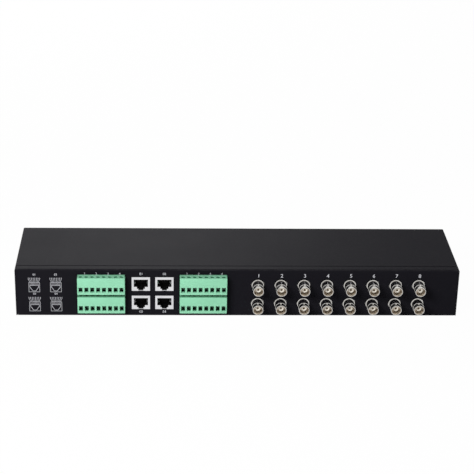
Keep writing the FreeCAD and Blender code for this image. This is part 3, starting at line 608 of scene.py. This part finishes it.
def rounded_box(name, low, high, radius, finish, segments=2):
    """A box with rounded edges between two corners."""
    builder = bmesh.new()
    middle = (Vector(low) + Vector(high)) / 2
    span = Vector(high) - Vector(low)
    place = Matrix.Translation(middle) @ Matrix.Diagonal((*span, 1.0))
    bmesh.ops.create_cube(builder, size=1.0, matrix=place)
    if radius:
        bmesh.ops.bevel(builder, geom=builder.edges[:], offset=radius, segments=segments,
                        affect="EDGES", profile=0.5)
    return solid_from(name, builder, finish)


print("lathe and box ready")

# %% [markdown]
# ## A tree that repeats
# Rows of equal things make up most of this object: jacks, poles, contacts, screws. One Geometry
# Nodes tree sets copies of the mesh that it is put on along a step, and realises them, so the
# result is plain mesh with its finish.

# %% The repeating tree
def new_shape_tree(name, inputs, build):
    """A geometry tree; what build returns is realised and gets the piece's finish."""
    tree = bpy.data.node_groups.new(name, "GeometryNodeTree")
    tree.is_modifier = True
    for label, kind in {"Geometry": "Geometry", **inputs, "Finish": "Material"}.items():
        tree.interface.new_socket(label, in_out="INPUT", socket_type=f"NodeSocket{kind}")
    tree.interface.new_socket("Geometry", in_out="OUTPUT", socket_type="NodeSocketGeometry")
    given = tree.nodes.new("NodeGroupInput").outputs
    realised = add_node(tree, "GeometryNodeRealizeInstances", {0: build(tree, given)})
    painted = add_node(tree, "GeometryNodeSetMaterial", {
        "Geometry": realised.outputs[0], "Material": given["Finish"]})
    tree.links.new(painted.outputs[0], tree.nodes.new("NodeGroupOutput").inputs["Geometry"])
    print(name, "nodes:", len(tree.nodes))
    return tree


def build_row_of_copies(tree, given):
    line = add_node(tree, "GeometryNodeMeshLine", {
        "Count": given["Count"], "Offset": given["Step"]})
    return add_node(tree, "GeometryNodeInstanceOnPoints", {
        "Points": line.outputs[0], "Instance": given["Geometry"]}).outputs[0]


def apply_tree(piece, tree, values):
    """Run a tree on a piece with values by input name, and keep the plain result."""
    change = piece.modifiers.new(tree.name, "NODES")
    change.node_group = tree
    values["Finish"] = piece.data.materials[0]
    for item in tree.interface.items_tree:
        if item.in_out == "INPUT" and item.name in values:
            change[item.identifier] = values[item.name]
    return settle(piece)


row_of_copies = new_shape_tree(
    "row_of_copies", {"Count": "Int", "Step": "Vector"}, build_row_of_copies)


def repeat(piece, count, step):
    return apply_tree(piece, row_of_copies, {"Count": count, "Step": step})


# %% [markdown]
# ## Video jacks
# Each jack is a turned barrel with a narrower front, two bayonet lugs and a collar that sits in
# the panel, on a square body behind it. Its sizes are depths from the mouth and radii.

# %% Sizes of a video jack
BARREL_FRONT = 4.6 * mm
BARREL_REAR = 4.85 * mm
BARREL_STEP = 4.9 * mm
BORE_DEPTH = 9.3 * mm
COLLAR = 5.45 * mm
COLLAR_DEPTH = 13.0 * mm
LUG = 1.0 * mm
LUG_TOP = 5.5 * mm
LUG_DEPTH = 4.4 * mm
SEAT = 3.05 * mm
BLOCK_DEPTH = 15.3 * mm
STEP_SLOPE = 0.25 * mm
EDGE = 0.2 * mm
EDGE_MID = EDGE * 0.3
SPARE = mm
jack_low, jack_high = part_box("video_jack_shell_upper_1")
jack_length = jack_high.y - jack_low.y
video_step = (video_pitch, 0, 0)
UPRIGHT = Matrix.Rotation(math.radians(90), 4, "X")
first_jack_place = {
    row: Matrix.Translation((video_x[0], jack_low.y, axis_z[row])) for row in ROWS}
print("jack length", round(jack_length / mm, 2), "mm")

# %% [markdown]
# ### The shells
# In CAD their edges are sharp, but plated brass has small rounds, which show in the photograph as
# thin bright rings round the mouth and the collar. The CAD mesh could be bevelled, but a lathed
# outline gives cleaner rings, so the barrel is turned here and then repeated along the row.

# %% Turn the shells
def make_barrel():
    return lathe("barrel", [
        (EDGE, BORE), (EDGE_MID, BORE + EDGE_MID), (0, BORE + EDGE),
        (0, BARREL_FRONT - EDGE), (EDGE_MID, BARREL_FRONT - EDGE_MID), (EDGE, BARREL_FRONT),
        (BARREL_STEP, BARREL_FRONT), (BARREL_STEP + STEP_SLOPE, BARREL_REAR),
        (COLLAR_DEPTH, BARREL_REAR), (COLLAR_DEPTH, COLLAR - 2 * EDGE),
        (COLLAR_DEPTH + EDGE * 0.6, COLLAR - EDGE * 0.6), (COLLAR_DEPTH + 2 * EDGE, COLLAR),
        (BLOCK_DEPTH + EDGE, COLLAR), (BLOCK_DEPTH + EDGE, SEAT),
        (BORE_DEPTH, SEAT), (BORE_DEPTH, BORE),
    ], nickel, segments=56)


def make_lug(upward):
    lug = lathe("lug", [
        (BORE + 2 * EDGE, 0), (BORE + 2 * EDGE, LUG), (LUG_TOP - EDGE, LUG),
        (LUG_TOP - EDGE_MID, LUG - EDGE_MID), (LUG_TOP, LUG - EDGE), (LUG_TOP, 0),
    ], nickel, segments=24)
    turn = UPRIGHT if upward else Matrix.Rotation(math.radians(-90), 4, "X")
    return move_mesh(lug, turn, Matrix.Translation((0, LUG_DEPTH, 0)))


def make_jack_body():
    half = (jack_high.x - jack_low.x) / 2
    low = (-half, BLOCK_DEPTH, -AXIS_RISE)
    high = (half, jack_length, jack_high.z - jack_low.z - AXIS_RISE)
    body = rounded_box("jack_body", low, high, EDGE, nickel)
    bore = lathe("seat", [
        (BLOCK_DEPTH - SPARE, 0), (BLOCK_DEPTH - SPARE, SEAT),
        (jack_length + SPARE, SEAT), (jack_length + SPARE, 0)], nickel)
    return use_tool(body, bore, "DIFFERENCE")


for row in ROWS:
    shell = make_barrel()
    for upward in (True, False):
        use_tool(shell, make_lug(upward), "UNION")
    use_tool(shell, make_jack_body(), "UNION")
    move_mesh(shell, first_jack_place[row])
    shell.name = f"video_jack_shells_{row}"
    repeat(shell, VIDEO_COUNT, video_step)
    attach(shell, "case")
    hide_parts(*[f"video_jack_shell_{row}_{n}" for n in range(1, VIDEO_COUNT + 1)])
    print(shell.name, len(shell.data.polygons), "faces")

# %% [markdown]
# ### What the jack holds
# A cream insulator fills the back of the barrel, and a gilt tube in it, slit into four tines,
# grips the plug's pin. Both are turned too, and the slits are two thin cuts.

# %% Insulators and centre contacts
NOSE = 2.4 * mm
NOSE_DEPTH = 3.7 * mm
INSULATOR_BASE = 3.0 * mm
CONTACT = 0.95 * mm
CONTACT_HOLE = CONTACT + 0.05 * mm
CONTACT_EDGE = 0.1 * mm
CONTACT_BORE = 0.5 * mm
CONTACT_DEPTH = 4.3 * mm
CONTACT_BORE_LENGTH = 6 * mm
CONTACT_TAIL = 1.2 * mm
TINE_LENGTH = 4 * mm
TINE_GAP = 0.22 * mm


def make_insulator():
    return lathe("insulator", [
        (NOSE_DEPTH + EDGE, CONTACT_HOLE), (NOSE_DEPTH, CONTACT_HOLE + EDGE),
        (NOSE_DEPTH, NOSE - EDGE), (NOSE_DEPTH + EDGE_MID, NOSE - EDGE_MID),
        (NOSE_DEPTH + EDGE, NOSE), (BORE_DEPTH, NOSE), (BORE_DEPTH, INSULATOR_BASE),
        (jack_length, INSULATOR_BASE), (jack_length, CONTACT_HOLE),
    ], white_plastic)


def make_centre_contact():
    end = jack_length + CONTACT_TAIL
    bore_end = CONTACT_DEPTH + CONTACT_BORE_LENGTH
    half_gap = TINE_GAP / 2
    tube = lathe("contact", [
        (bore_end, 0), (bore_end, CONTACT_BORE),
        (CONTACT_DEPTH + CONTACT_EDGE, CONTACT_BORE), (CONTACT_DEPTH, CONTACT_BORE + CONTACT_EDGE),
        (CONTACT_DEPTH, CONTACT - CONTACT_EDGE), (CONTACT_DEPTH + CONTACT_EDGE, CONTACT),
        (end, CONTACT), (end, 0),
    ], shade_darkened_gilt, segments=32)
    for across, up in ((CONTACT * 2, half_gap), (half_gap, CONTACT * 2)):
        slit = rounded_box("slit", (-across, CONTACT_DEPTH - SPARE, -up),
                           (across, CONTACT_DEPTH + TINE_LENGTH, up), 0, shade_darkened_gilt)
        use_tool(tube, slit, "DIFFERENCE")
    tail = rounded_box("tail", (-CONTACT, jack_length, -AXIS_RISE), (CONTACT, end, 0), 0, shade_darkened_gilt)
    return use_tool(tube, tail, "UNION")


for row in ROWS:
    for maker, kind, slot in ((make_insulator, "insulators", "white_plastic"),
                              (make_centre_contact, "contacts", "brass")):
        piece = move_mesh(maker(), first_jack_place[row])
        piece.name = f"jack_{kind}_{row}"
        repeat(piece, VIDEO_COUNT, video_step)
        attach(piece, "case")
        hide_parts(f"video_jack_{kind}_{row}")
        print(piece.name, len(piece.data.polygons), "faces")

# %% [markdown]
# ## Plug-in terminal blocks
# A block is one moulding with eight poles. Each pole has a wire entry in front, a round well for
# the screwdriver above it, and a chamber inside for the clamp.

# %% Sizes of a terminal block
ENTRY_WIDTH = 3.2 * mm
ENTRY_HEIGHT = 4.4 * mm
ENTRY_RISE = 4.9 * mm
ENTRY_FLARE = 0.25 * mm
FLARE_DEPTH = 0.7 * mm
CHAMBER_WIDTH = 4.2 * mm
CHAMBER_LENGTH = 4.6 * mm
CHAMBER_RISE = 1.7 * mm
CHAMBER_HEIGHT = 9.4 * mm
SLOT_WIDTH = 2.6 * mm
SLOT_HEIGHT = 2.8 * mm
PIN_RISE = 6.85 * mm
NOSE_INSET = 1.4 * mm
NOSE_GAP = 0.3 * mm
BLOCK_EDGE = 0.35 * mm
WELL_FLARE = BLOCK_EDGE * 0.7
pole_step = (POLE_PITCH, 0, 0)
print("poles:", len(BLOCKS) * POLE_COUNT)

# %% [markdown]
# ### The hollow of a pole
# One pole's hollow is modelled as a cutting tool. Moulded entries flare a little at their mouths,
# and the slopes catch the light between the dark holes.

# %% Make the cutting tool
def tapered_box(name, near_half, far_half, near_y, far_y, middle_z):
    """A box along Y whose two ends may differ in size; halves are (x, z)."""
    builder = bmesh.new()
    ends = []
    for (half_x, half_z), y in ((near_half, near_y), (far_half, far_y)):
        ends.append([builder.verts.new((sx * half_x, y, middle_z + sz * half_z))
                     for sx, sz in ((-1, -1), (1, -1), (1, 1), (-1, 1))])
    builder.faces.new(ends[0])
    builder.faces.new(ends[1])
    for corner in range(4):
        after = (corner + 1) % 4
        builder.faces.new((ends[0][corner], ends[0][after], ends[1][after], ends[1][corner]))
    return solid_from(name, builder, mint_plastic)


def make_pole_hollow(front, back, top):
    """Everything that one pole leaves open, between the block's front, back and top."""
    chamber_front = well_y - CHAMBER_LENGTH / 2
    half_entry = (ENTRY_WIDTH / 2, ENTRY_HEIGHT / 2)
    flared = (half_entry[0] + ENTRY_FLARE, half_entry[1] + ENTRY_FLARE)
    half_slot = (SLOT_WIDTH / 2, SLOT_HEIGHT / 2)
    well = lathe("well", [
        (CHAMBER_RISE + SPARE, 0), (CHAMBER_RISE + SPARE, WELL), (top - BLOCK_EDGE, WELL),
        (top, WELL + WELL_FLARE), (top + SPARE, WELL + WELL_FLARE), (top + SPARE, 0),
    ], mint_plastic, segments=32)
    move_mesh(well, UPRIGHT, Matrix.Translation((0, well_y, 0)))
    hollow = tapered_box("hollow", half_entry, half_entry, front - SPARE, chamber_front + SPARE,
                         ENTRY_RISE)
    steps = (
        tapered_box("flare", flared, half_entry, front, front + FLARE_DEPTH, ENTRY_RISE),
        tapered_box("slot", half_slot, half_slot, well_y, back + SPARE, PIN_RISE),
        rounded_box("chamber", (-CHAMBER_WIDTH / 2, chamber_front, CHAMBER_RISE),
                    (CHAMBER_WIDTH / 2, chamber_front + CHAMBER_LENGTH,
                     CHAMBER_RISE + CHAMBER_HEIGHT), 0, mint_plastic),
        well)
    for step in steps:
        use_tool(hollow, step, "UNION")
    return hollow

# %% [markdown]
# ### The blocks
# The tree repeats the hollow eight times, and one exact cut takes all of it out of a rounded
# block. Each block rides on its own body, because it pulls out of its header.

# %% Cut the blocks
def make_block(row, side):
    low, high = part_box(f"terminal_plug_{row}_{side}")
    header_low, header_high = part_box(f"terminal_header_{row}_{side}")
    middle_x = (low.x + high.x) / 2
    half = (high.x - low.x) / 2
    top = high.z - low.z
    shoulder = header_low.y - NOSE_GAP
    half_nose = (header_high.x - header_low.x) / 2 - NOSE_INSET
    nose_low = header_low.z - low.z + NOSE_INSET
    nose_high = header_high.z - low.z - NOSE_INSET
    block = rounded_box(f"terminal_block_{row}_{side}", (-half, low.y, 0), (half, shoulder, top),
                        BLOCK_EDGE, mint_plastic, segments=3)
    nose = rounded_box("nose", (-half_nose, shoulder - SPARE, nose_low),
                       (half_nose, high.y, nose_high), EDGE, mint_plastic)
    use_tool(block, nose, "UNION")
    hollow = make_pole_hollow(low.y, high.y, top)
    move_mesh(hollow, Matrix.Translation((-POLE_PITCH * (POLE_COUNT - 1) / 2, 0, 0)))
    use_tool(block, repeat(hollow, POLE_COUNT, pole_step), "DIFFERENCE")
    return move_mesh(block, Matrix.Translation((middle_x, 0, low.z)))


for row, side in BLOCKS:
    block = make_block(row, side)
    dress(block, block_plastic[row, side])
    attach(block, f"plug_{row}_{side}")
    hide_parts(f"terminal_plug_{row}_{side}")
    print(block.name, len(block.data.polygons), "faces")

# %% [markdown]
# ### Clamp screws
# A slotted screw sits at the foot of each well. It is turned with a small round on its head, cut
# once for the slot, and repeated along the block.

# %% Turn the clamp screws
SCREW_HEAD = 1.5 * mm
SCREW_SHANK = 1.2 * mm
HEAD_HEIGHT = 2.2 * mm
DRIVE_WIDTH = 0.8 * mm
DRIVE_DEPTH = 0.8 * mm
SCREW_EDGE = 0.15 * mm


def make_clamp_screw(length):
    """A screw that stands upright with the underside of its shank at the origin."""
    shoulder = length - HEAD_HEIGHT
    screw = lathe("clamp_screw", [
        (0, 0), (0, SCREW_SHANK - SCREW_EDGE), (SCREW_EDGE, SCREW_SHANK), (shoulder, SCREW_SHANK),
        (shoulder, SCREW_HEAD), (length - SCREW_EDGE, SCREW_HEAD),
        (length, SCREW_HEAD - SCREW_EDGE), (length, 0),
    ], shaded_steel, segments=28)
    move_mesh(screw, UPRIGHT)
    drive = rounded_box("drive", (-SCREW_HEAD * 2, -DRIVE_WIDTH / 2, length - DRIVE_DEPTH),
                        (SCREW_HEAD * 2, DRIVE_WIDTH / 2, length + SPARE), 0, shaded_steel)
    return use_tool(screw, drive, "DIFFERENCE")


for row, side in BLOCKS:
    low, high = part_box(f"plug_screws_{row}_{side}")
    screws = make_clamp_screw(high.z - low.z)
    move_mesh(screws, Matrix.Translation((low.x + SCREW_HEAD, (low.y + high.y) / 2, low.z)))
    screws.name = f"clamp_screws_{row}_{side}"
    repeat(screws, POLE_COUNT, pole_step)
    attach(screws, f"plug_{row}_{side}")
    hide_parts(f"plug_screws_{row}_{side}")
print("clamp screws:", len(BLOCKS) * POLE_COUNT)

# %% [markdown]
# ## Screen print
# The panel carries white print: a number over each column of video jacks, numbers at the network
# jacks and over the terminal blocks, and four small pictures that show how a network jack is
# wired to terminals. The plain front has a thin rounded frame line. Words and marks of the maker
# are left out. Ink stands a little proud of the paint, so each mark is a thin solid. Lines are
# drawn as bare edges, and a second tree follows them with a flat strip of ink.

# %% Ink and the line tree
INK = 0.04 * mm
CORNER_STEPS = 6


def make_ink():
    finish = Finish("white_screen_ink", specular=0.3)
    grain = finish.effect(fine_grain, Bumps=2600.0, Patches=300.0)
    finish.drive("Base Color", finish.blend_colours(
        grain["Patch Mask"], colour(196, 196, 203), colour(226, 226, 232)))
    finish.drive("Roughness", finish.spread(grain["Patch Mask"], 0.45, 0.6))
    finish.bump(grain["Height"], 0.01 * mm, 0.4)
    return finish.material


white_ink = make_ink()


def build_printed_line(tree, given):
    path = add_node(tree, "GeometryNodeMeshToCurve", {0: given["Geometry"]})
    rounded = add_node(tree, "GeometryNodeFilletCurve", {
        "Curve": path.outputs[0], "Radius": given["Corner"], "Count": CORNER_STEPS}, mode="POLY")
    level = add_node(tree, "GeometryNodeSetCurveNormal", {0: rounded.outputs[0]}, mode="Z_UP")
    strip = add_node(tree, "GeometryNodeCurvePrimitiveQuadrilateral", {
        "Width": given["Stroke"], "Height": 2 * INK})
    return add_node(tree, "GeometryNodeCurveToMesh", {
        "Curve": level.outputs[0], "Profile Curve": strip.outputs[0],
        "Fill Caps": True}).outputs[0]


printed_line = new_shape_tree(
    "printed_line", {"Stroke": "Float", "Corner": "Float"}, build_printed_line)

# %% [markdown]
# ### Lines and numbers
# Numbers come from Blender's own font, made into mesh, centred and scaled. They and the lines are
# laid out flat and then stood up against the panel.

# %% Drawing lines and numbers
def draw_lines(name, lines, stroke, corner=0.0):
    """Ink along lines of (x, z) points; a line that ends where it starts is closed."""
    builder = bmesh.new()
    for line in lines:
        closed = line[0] == line[-1]
        points = [builder.verts.new((x, z, 0)) for x, z in (line[:-1] if closed else line)]
        for start, end in zip(points, points[1:] + points[:1] if closed else points[1:]):
            builder.edges.new((start, end))
    piece = piece_from(name, builder, white_ink)
    apply_tree(piece, printed_line, {"Stroke": stroke, "Corner": corner})
    return move_mesh(piece, UPRIGHT, Matrix.Translation((0, panel_y, 0)))


def print_number(number, height, x, z, weight=0.0):
    """A number in plain type, centred on a place on the panel."""
    words = bpy.data.curves.new(f"number_{number}", "FONT")
    words.body = str(number)
    words.offset = weight
    words.extrude = 0.5
    maker = bpy.data.objects.new(words.name, words)
    bpy.context.scene.collection.objects.link(maker)
    graph = bpy.context.evaluated_depsgraph_get()
    mesh = bpy.data.meshes.new_from_object(maker.evaluated_get(graph))
    bpy.data.objects.remove(maker)
    lows, highs = ([end(v.co[axis] for v in mesh.vertices) for axis in range(3)]
                   for end in (min, max))
    centre = [-(low + high) / 2 for low, high in zip(lows, highs)]
    size = height / (highs[1] - lows[1])
    piece = new_piece(f"number_{number}", mesh, white_ink)
    return move_mesh(piece, Matrix.Translation(centre), Matrix.Diagonal((size, size, 2 * INK, 1.0)),
                     UPRIGHT, Matrix.Translation((x, panel_y, z)))


print("print helpers ready")

# %% [markdown]
# ### Numbers
# The numbers over the jacks say which channel a column belongs to. The small ones at the network
# jacks, the wiring pictures and the terminals are plain counts too.

# %% Print the numbers
NUMBER_HEIGHT = 3.4 * mm
NUMBER_WEIGHT = 0.01
NUMBER_SHIFT = 0.7 * mm
NUMBER_RISE = 8.9 * mm
SMALL_NUMBER_HEIGHT = 2.2 * mm
TERMINAL_NUMBER_SHIFT = 0.8 * mm
TERMINAL_NUMBER_RISE = 10.5 * mm
NETWORK_NUMBER_RISE = {"upper": 10.5 * mm, "lower": -8.5 * mm}
PICTURE_NUMBER_HEIGHT = 1.9 * mm
PICTURE_NUMBER_RISE = {"upper": 9.6 * mm, "lower": 9.0 * mm}
PICTURE_X = (-178.3 * mm, -159.5 * mm)
PAIR_COUNT = POLE_COUNT // 2
numbers = [
    print_number(n, NUMBER_HEIGHT, x + NUMBER_SHIFT,
                 axis_z["upper"] + NUMBER_RISE, NUMBER_WEIGHT)
    for n, x in enumerate(video_x, start=1)]
for first, row in ((1, "upper"), (3, "lower")):
    for number, side in enumerate(SIDES, start=first):
        jack_x = middle_of(f"network_jack_shield_{row}_{side}").x
        for height, x, rise in (
                (SMALL_NUMBER_HEIGHT, jack_x, NETWORK_NUMBER_RISE[row]),
                (PICTURE_NUMBER_HEIGHT, PICTURE_X[number - first], PICTURE_NUMBER_RISE[row])):
            numbers.append(print_number(f"0{number}", height, x, axis_z[row] + rise))
for side in SIDES:
    middle_x = middle_of(f"terminal_plug_upper_{side}").x + TERMINAL_NUMBER_SHIFT
    for pair in range(PAIR_COUNT):
        x = middle_x + (2 * pair - PAIR_COUNT + 1) * POLE_PITCH
        numbers.append(print_number(pair + 1, SMALL_NUMBER_HEIGHT, x,
                                    axis_z["upper"] + TERMINAL_NUMBER_RISE))
panel_numbers = join("panel_numbers", numbers)
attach(panel_numbers, "case")
print("numbers:", len(numbers), "faces:", len(panel_numbers.data.polygons))

# %% [markdown]
# ### Wiring pictures
# Each picture is a box with the mouth of a network jack, its eight contacts as a comb, and eight
# wires that spread from the comb to the terminals above.

# %% Draw the wiring pictures
PICTURE_WIDTH = 9.4 * mm
PICTURE_HEIGHT = 9.0 * mm
MOUTH_LEVEL = 6.2 * mm
MOUTH_WIDTH = 7.6 * mm
MOUTH_SIDE = 1.6 * mm
MOUTH_FOOT = 2.6 * mm
FOOT_LEVEL = 0.9 * mm
COMB_PITCH = 1.0 * mm
COMB_HEIGHT = 2.2 * mm
SPREAD_PITCH = 1.42 * mm
SPREAD_HEIGHT = 3.2 * mm
PAD_HEIGHT = 1.5 * mm
PICTURE_LOW = {"upper": -7.2 * mm, "lower": -8.0 * mm}
FRAME_STROKE = 0.38 * mm
WIRE_STROKE = 0.25 * mm
PAD_STROKE = 0.37 * mm


def picture_frames(x, z):
    """Closed lines of one picture: the box and the mouth of the jack."""
    half = PICTURE_WIDTH / 2
    mouth = MOUTH_WIDTH / 2
    foot = MOUTH_FOOT / 2
    shoulder = MOUTH_LEVEL - MOUTH_SIDE
    box = [(-half, 0), (half, 0), (half, PICTURE_HEIGHT), (-half, PICTURE_HEIGHT), (-half, 0)]
    opening = [(-mouth, MOUTH_LEVEL), (mouth, MOUTH_LEVEL), (mouth, shoulder), (foot, FOOT_LEVEL),
               (-foot, FOOT_LEVEL), (-mouth, shoulder), (-mouth, MOUTH_LEVEL)]
    return [[(x + u, z + w) for u, w in line] for line in (box, opening)]


def picture_wires(x, z):
    """Open lines of one picture: contacts and spreading wires, and then their ends."""
    lines, ends = [], []
    comb_z = z + MOUTH_LEVEL
    top = z + PICTURE_HEIGHT
    for contact in range(POLE_COUNT):
        place = contact - (POLE_COUNT - 1) / 2
        comb = x + place * COMB_PITCH
        end = x + place * SPREAD_PITCH
        lines.append([(comb, comb_z), (comb, comb_z + COMB_HEIGHT)])
        lines.append([(comb, top), (end, top + SPREAD_HEIGHT)])
        ends.append([(end, top + SPREAD_HEIGHT), (end, top + SPREAD_HEIGHT + PAD_HEIGHT)])
    return lines, ends


places = [(x, axis_z[row] + PICTURE_LOW[row]) for row in ROWS for x in PICTURE_X]
frames, wires, pads = [], [], []
for place in places:
    frames += picture_frames(*place)
    lines, ends = picture_wires(*place)
    wires += lines
    pads += ends
wiring_pictures = join("wiring_pictures", [
    draw_lines("frames", frames, FRAME_STROKE), draw_lines("wires", wires, WIRE_STROKE),
    draw_lines("pads", pads, PAD_STROKE)])
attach(wiring_pictures, "case")
print("wiring pictures:", len(places), "faces:", len(wiring_pictures.data.polygons))

# %% [markdown]
# ### Frame line on the plain front
# The other long side has one thin line with rounded corners, a little inside its edges.

# %% Draw the frame line
LINE_INSET = 5.2 * mm
LINE_LOW = 3.5 * mm
LINE_HIGH = 37.2 * mm
LINE_STROKE = 0.8 * mm
LINE_CORNER = 3.0 * mm
half_line = case_high.x - LINE_INSET
front_line = draw_lines("front_frame_line", [[
    (-half_line, LINE_LOW), (half_line, LINE_LOW), (half_line, LINE_HIGH), (-half_line, LINE_HIGH),
    (-half_line, LINE_LOW)]], LINE_STROKE, LINE_CORNER)
move_mesh(front_line, Matrix.Translation((0, front_y - panel_y, 0)))
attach(front_line, "case")
print("frame line faces:", len(front_line.data.polygons))

# %% [markdown]
# ## Floor, light and camera
# The object stands on a plain pale floor, which is white for the camera and for mirrored rays,
# and an ordinary diffuse floor for light, so that the shadow remains. The background does the
# same: it is white where it is seen or mirrored, and dim as a light.

# %% Floor and background
FLOOR_SIZE = 8.0
BACKGROUND_SHARE = 0.98
AMBIENT = 0.16


def background_rays(tree):
    """1 for camera, glossy and transmission rays."""
    rays = tree.nodes.new("ShaderNodeLightPath").outputs
    direct = add_math(tree, "MAXIMUM", rays["Is Camera Ray"], rays["Is Glossy Ray"])
    return add_math(tree, "MAXIMUM", direct, rays["Is Transmission Ray"])


def make_floor():
    finish = Finish("pale_floor", roughness=0.9, specular=0.1)
    grain = finish.effect(fine_grain, Bumps=40.0, Patches=3.0)
    finish.drive("Base Color", finish.blend_colours(
        grain["Patch Mask"], colour(243, 243, 243), colour(248, 248, 248)))
    glow = finish.tree.nodes.new("ShaderNodeEmission")
    mixed = add_node(finish.tree, "ShaderNodeMixShader", {
        "Fac": add_math(finish.tree, "MULTIPLY", background_rays(finish.tree), BACKGROUND_SHARE),
        1: finish.shader.outputs[0], 2: glow.outputs[0]})
    surface = finish.tree.nodes["Material Output"].inputs["Surface"]
    finish.tree.links.new(mixed.outputs[0], surface)
    return finish.material


builder = bmesh.new()
bmesh.ops.create_grid(builder, x_segments=1, y_segments=1, size=FLOOR_SIZE / 2)
floor = solid_from("studio_floor", builder, make_floor())

world = bpy.data.worlds.new("studio")
bpy.context.scene.world = world
world.use_nodes = True
surroundings = world.node_tree.nodes["Background"].inputs
surroundings["Color"].default_value = WHITE
level = add_node(world.node_tree, "ShaderNodeMapRange", {
    "Value": background_rays(world.node_tree), "To Min": AMBIENT, "To Max": 1.0})
world.node_tree.links.new(level.outputs["Result"], surroundings["Strength"])
print("floor and background ready")

# %% [markdown]
# ### Lamps
# One soft lamp in front, to the left and above, lights the connector side. Metals do not mirror
# it, so they show the white room and the dark panel in place of one hot spot. A wide lamp behind
# gives the paint on top its slow change from dark grey to nearly black.

# %% Hang the lamps
def add_soft_lamp(name, place, target, size, power, mirrored=True):
    lamp = bpy.data.lights.new(name, "AREA")
    lamp.shape = "RECTANGLE"
    lamp.size, lamp.size_y = size
    lamp.energy = power
    holder = bpy.data.objects.new(name, lamp)
    holder.location = place
    aim = Vector(target) - Vector(place)
    holder.rotation_euler = aim.to_track_quat("-Z", "Y").to_euler()
    holder.visible_glossy = mirrored
    bpy.context.scene.collection.objects.link(holder)


add_soft_lamp("front_softbox", place=(-0.5, -0.8, 0.68), target=(0, 0, 0), size=(0.5, 0.4),
              power=10, mirrored=False)
add_soft_lamp("rear_left_softbox", place=(-0.25, 1.25, 0.62), target=(-0.1, 0, 0),
              size=(0.8, 0.5), power=7)

# %% [markdown]
# ### Camera
# The photograph was taken with a long lens, from above the object and a little to its left. The
# six corners of the case in the picture give the camera's place and turn.

# %% Place the camera
LENS = 113.687
SENSOR = 36.0
CAMERA_PLACE = Vector((-0.05836, -1.22301, 0.61246))
PITCH = math.radians(24.417)
YAW = math.radians(2.739)
ROLL = math.radians(1.333)
camera = bpy.data.cameras.new("photo_camera")
camera.lens = LENS
camera.sensor_width = SENSOR
camera.sensor_fit = "HORIZONTAL"
camera.clip_start = 0.01
camera.clip_end = 50
viewer = bpy.data.objects.new("photo_camera", camera)
# A camera looks down: it is rolled first, then lifted to its pitch, then turned to its side.
turn = (Matrix.Rotation(-YAW, 4, "Z") @ Matrix.Rotation(math.radians(90) - PITCH, 4, "X")
        @ Matrix.Rotation(ROLL, 4, "Z"))
viewer.matrix_world = Matrix.Translation(CAMERA_PLACE) @ turn
bpy.context.scene.collection.objects.link(viewer)
bpy.context.scene.camera = viewer
bpy.context.scene.view_settings.view_transform = "Standard"
print("camera at", [round(value, 3) for value in viewer.location])
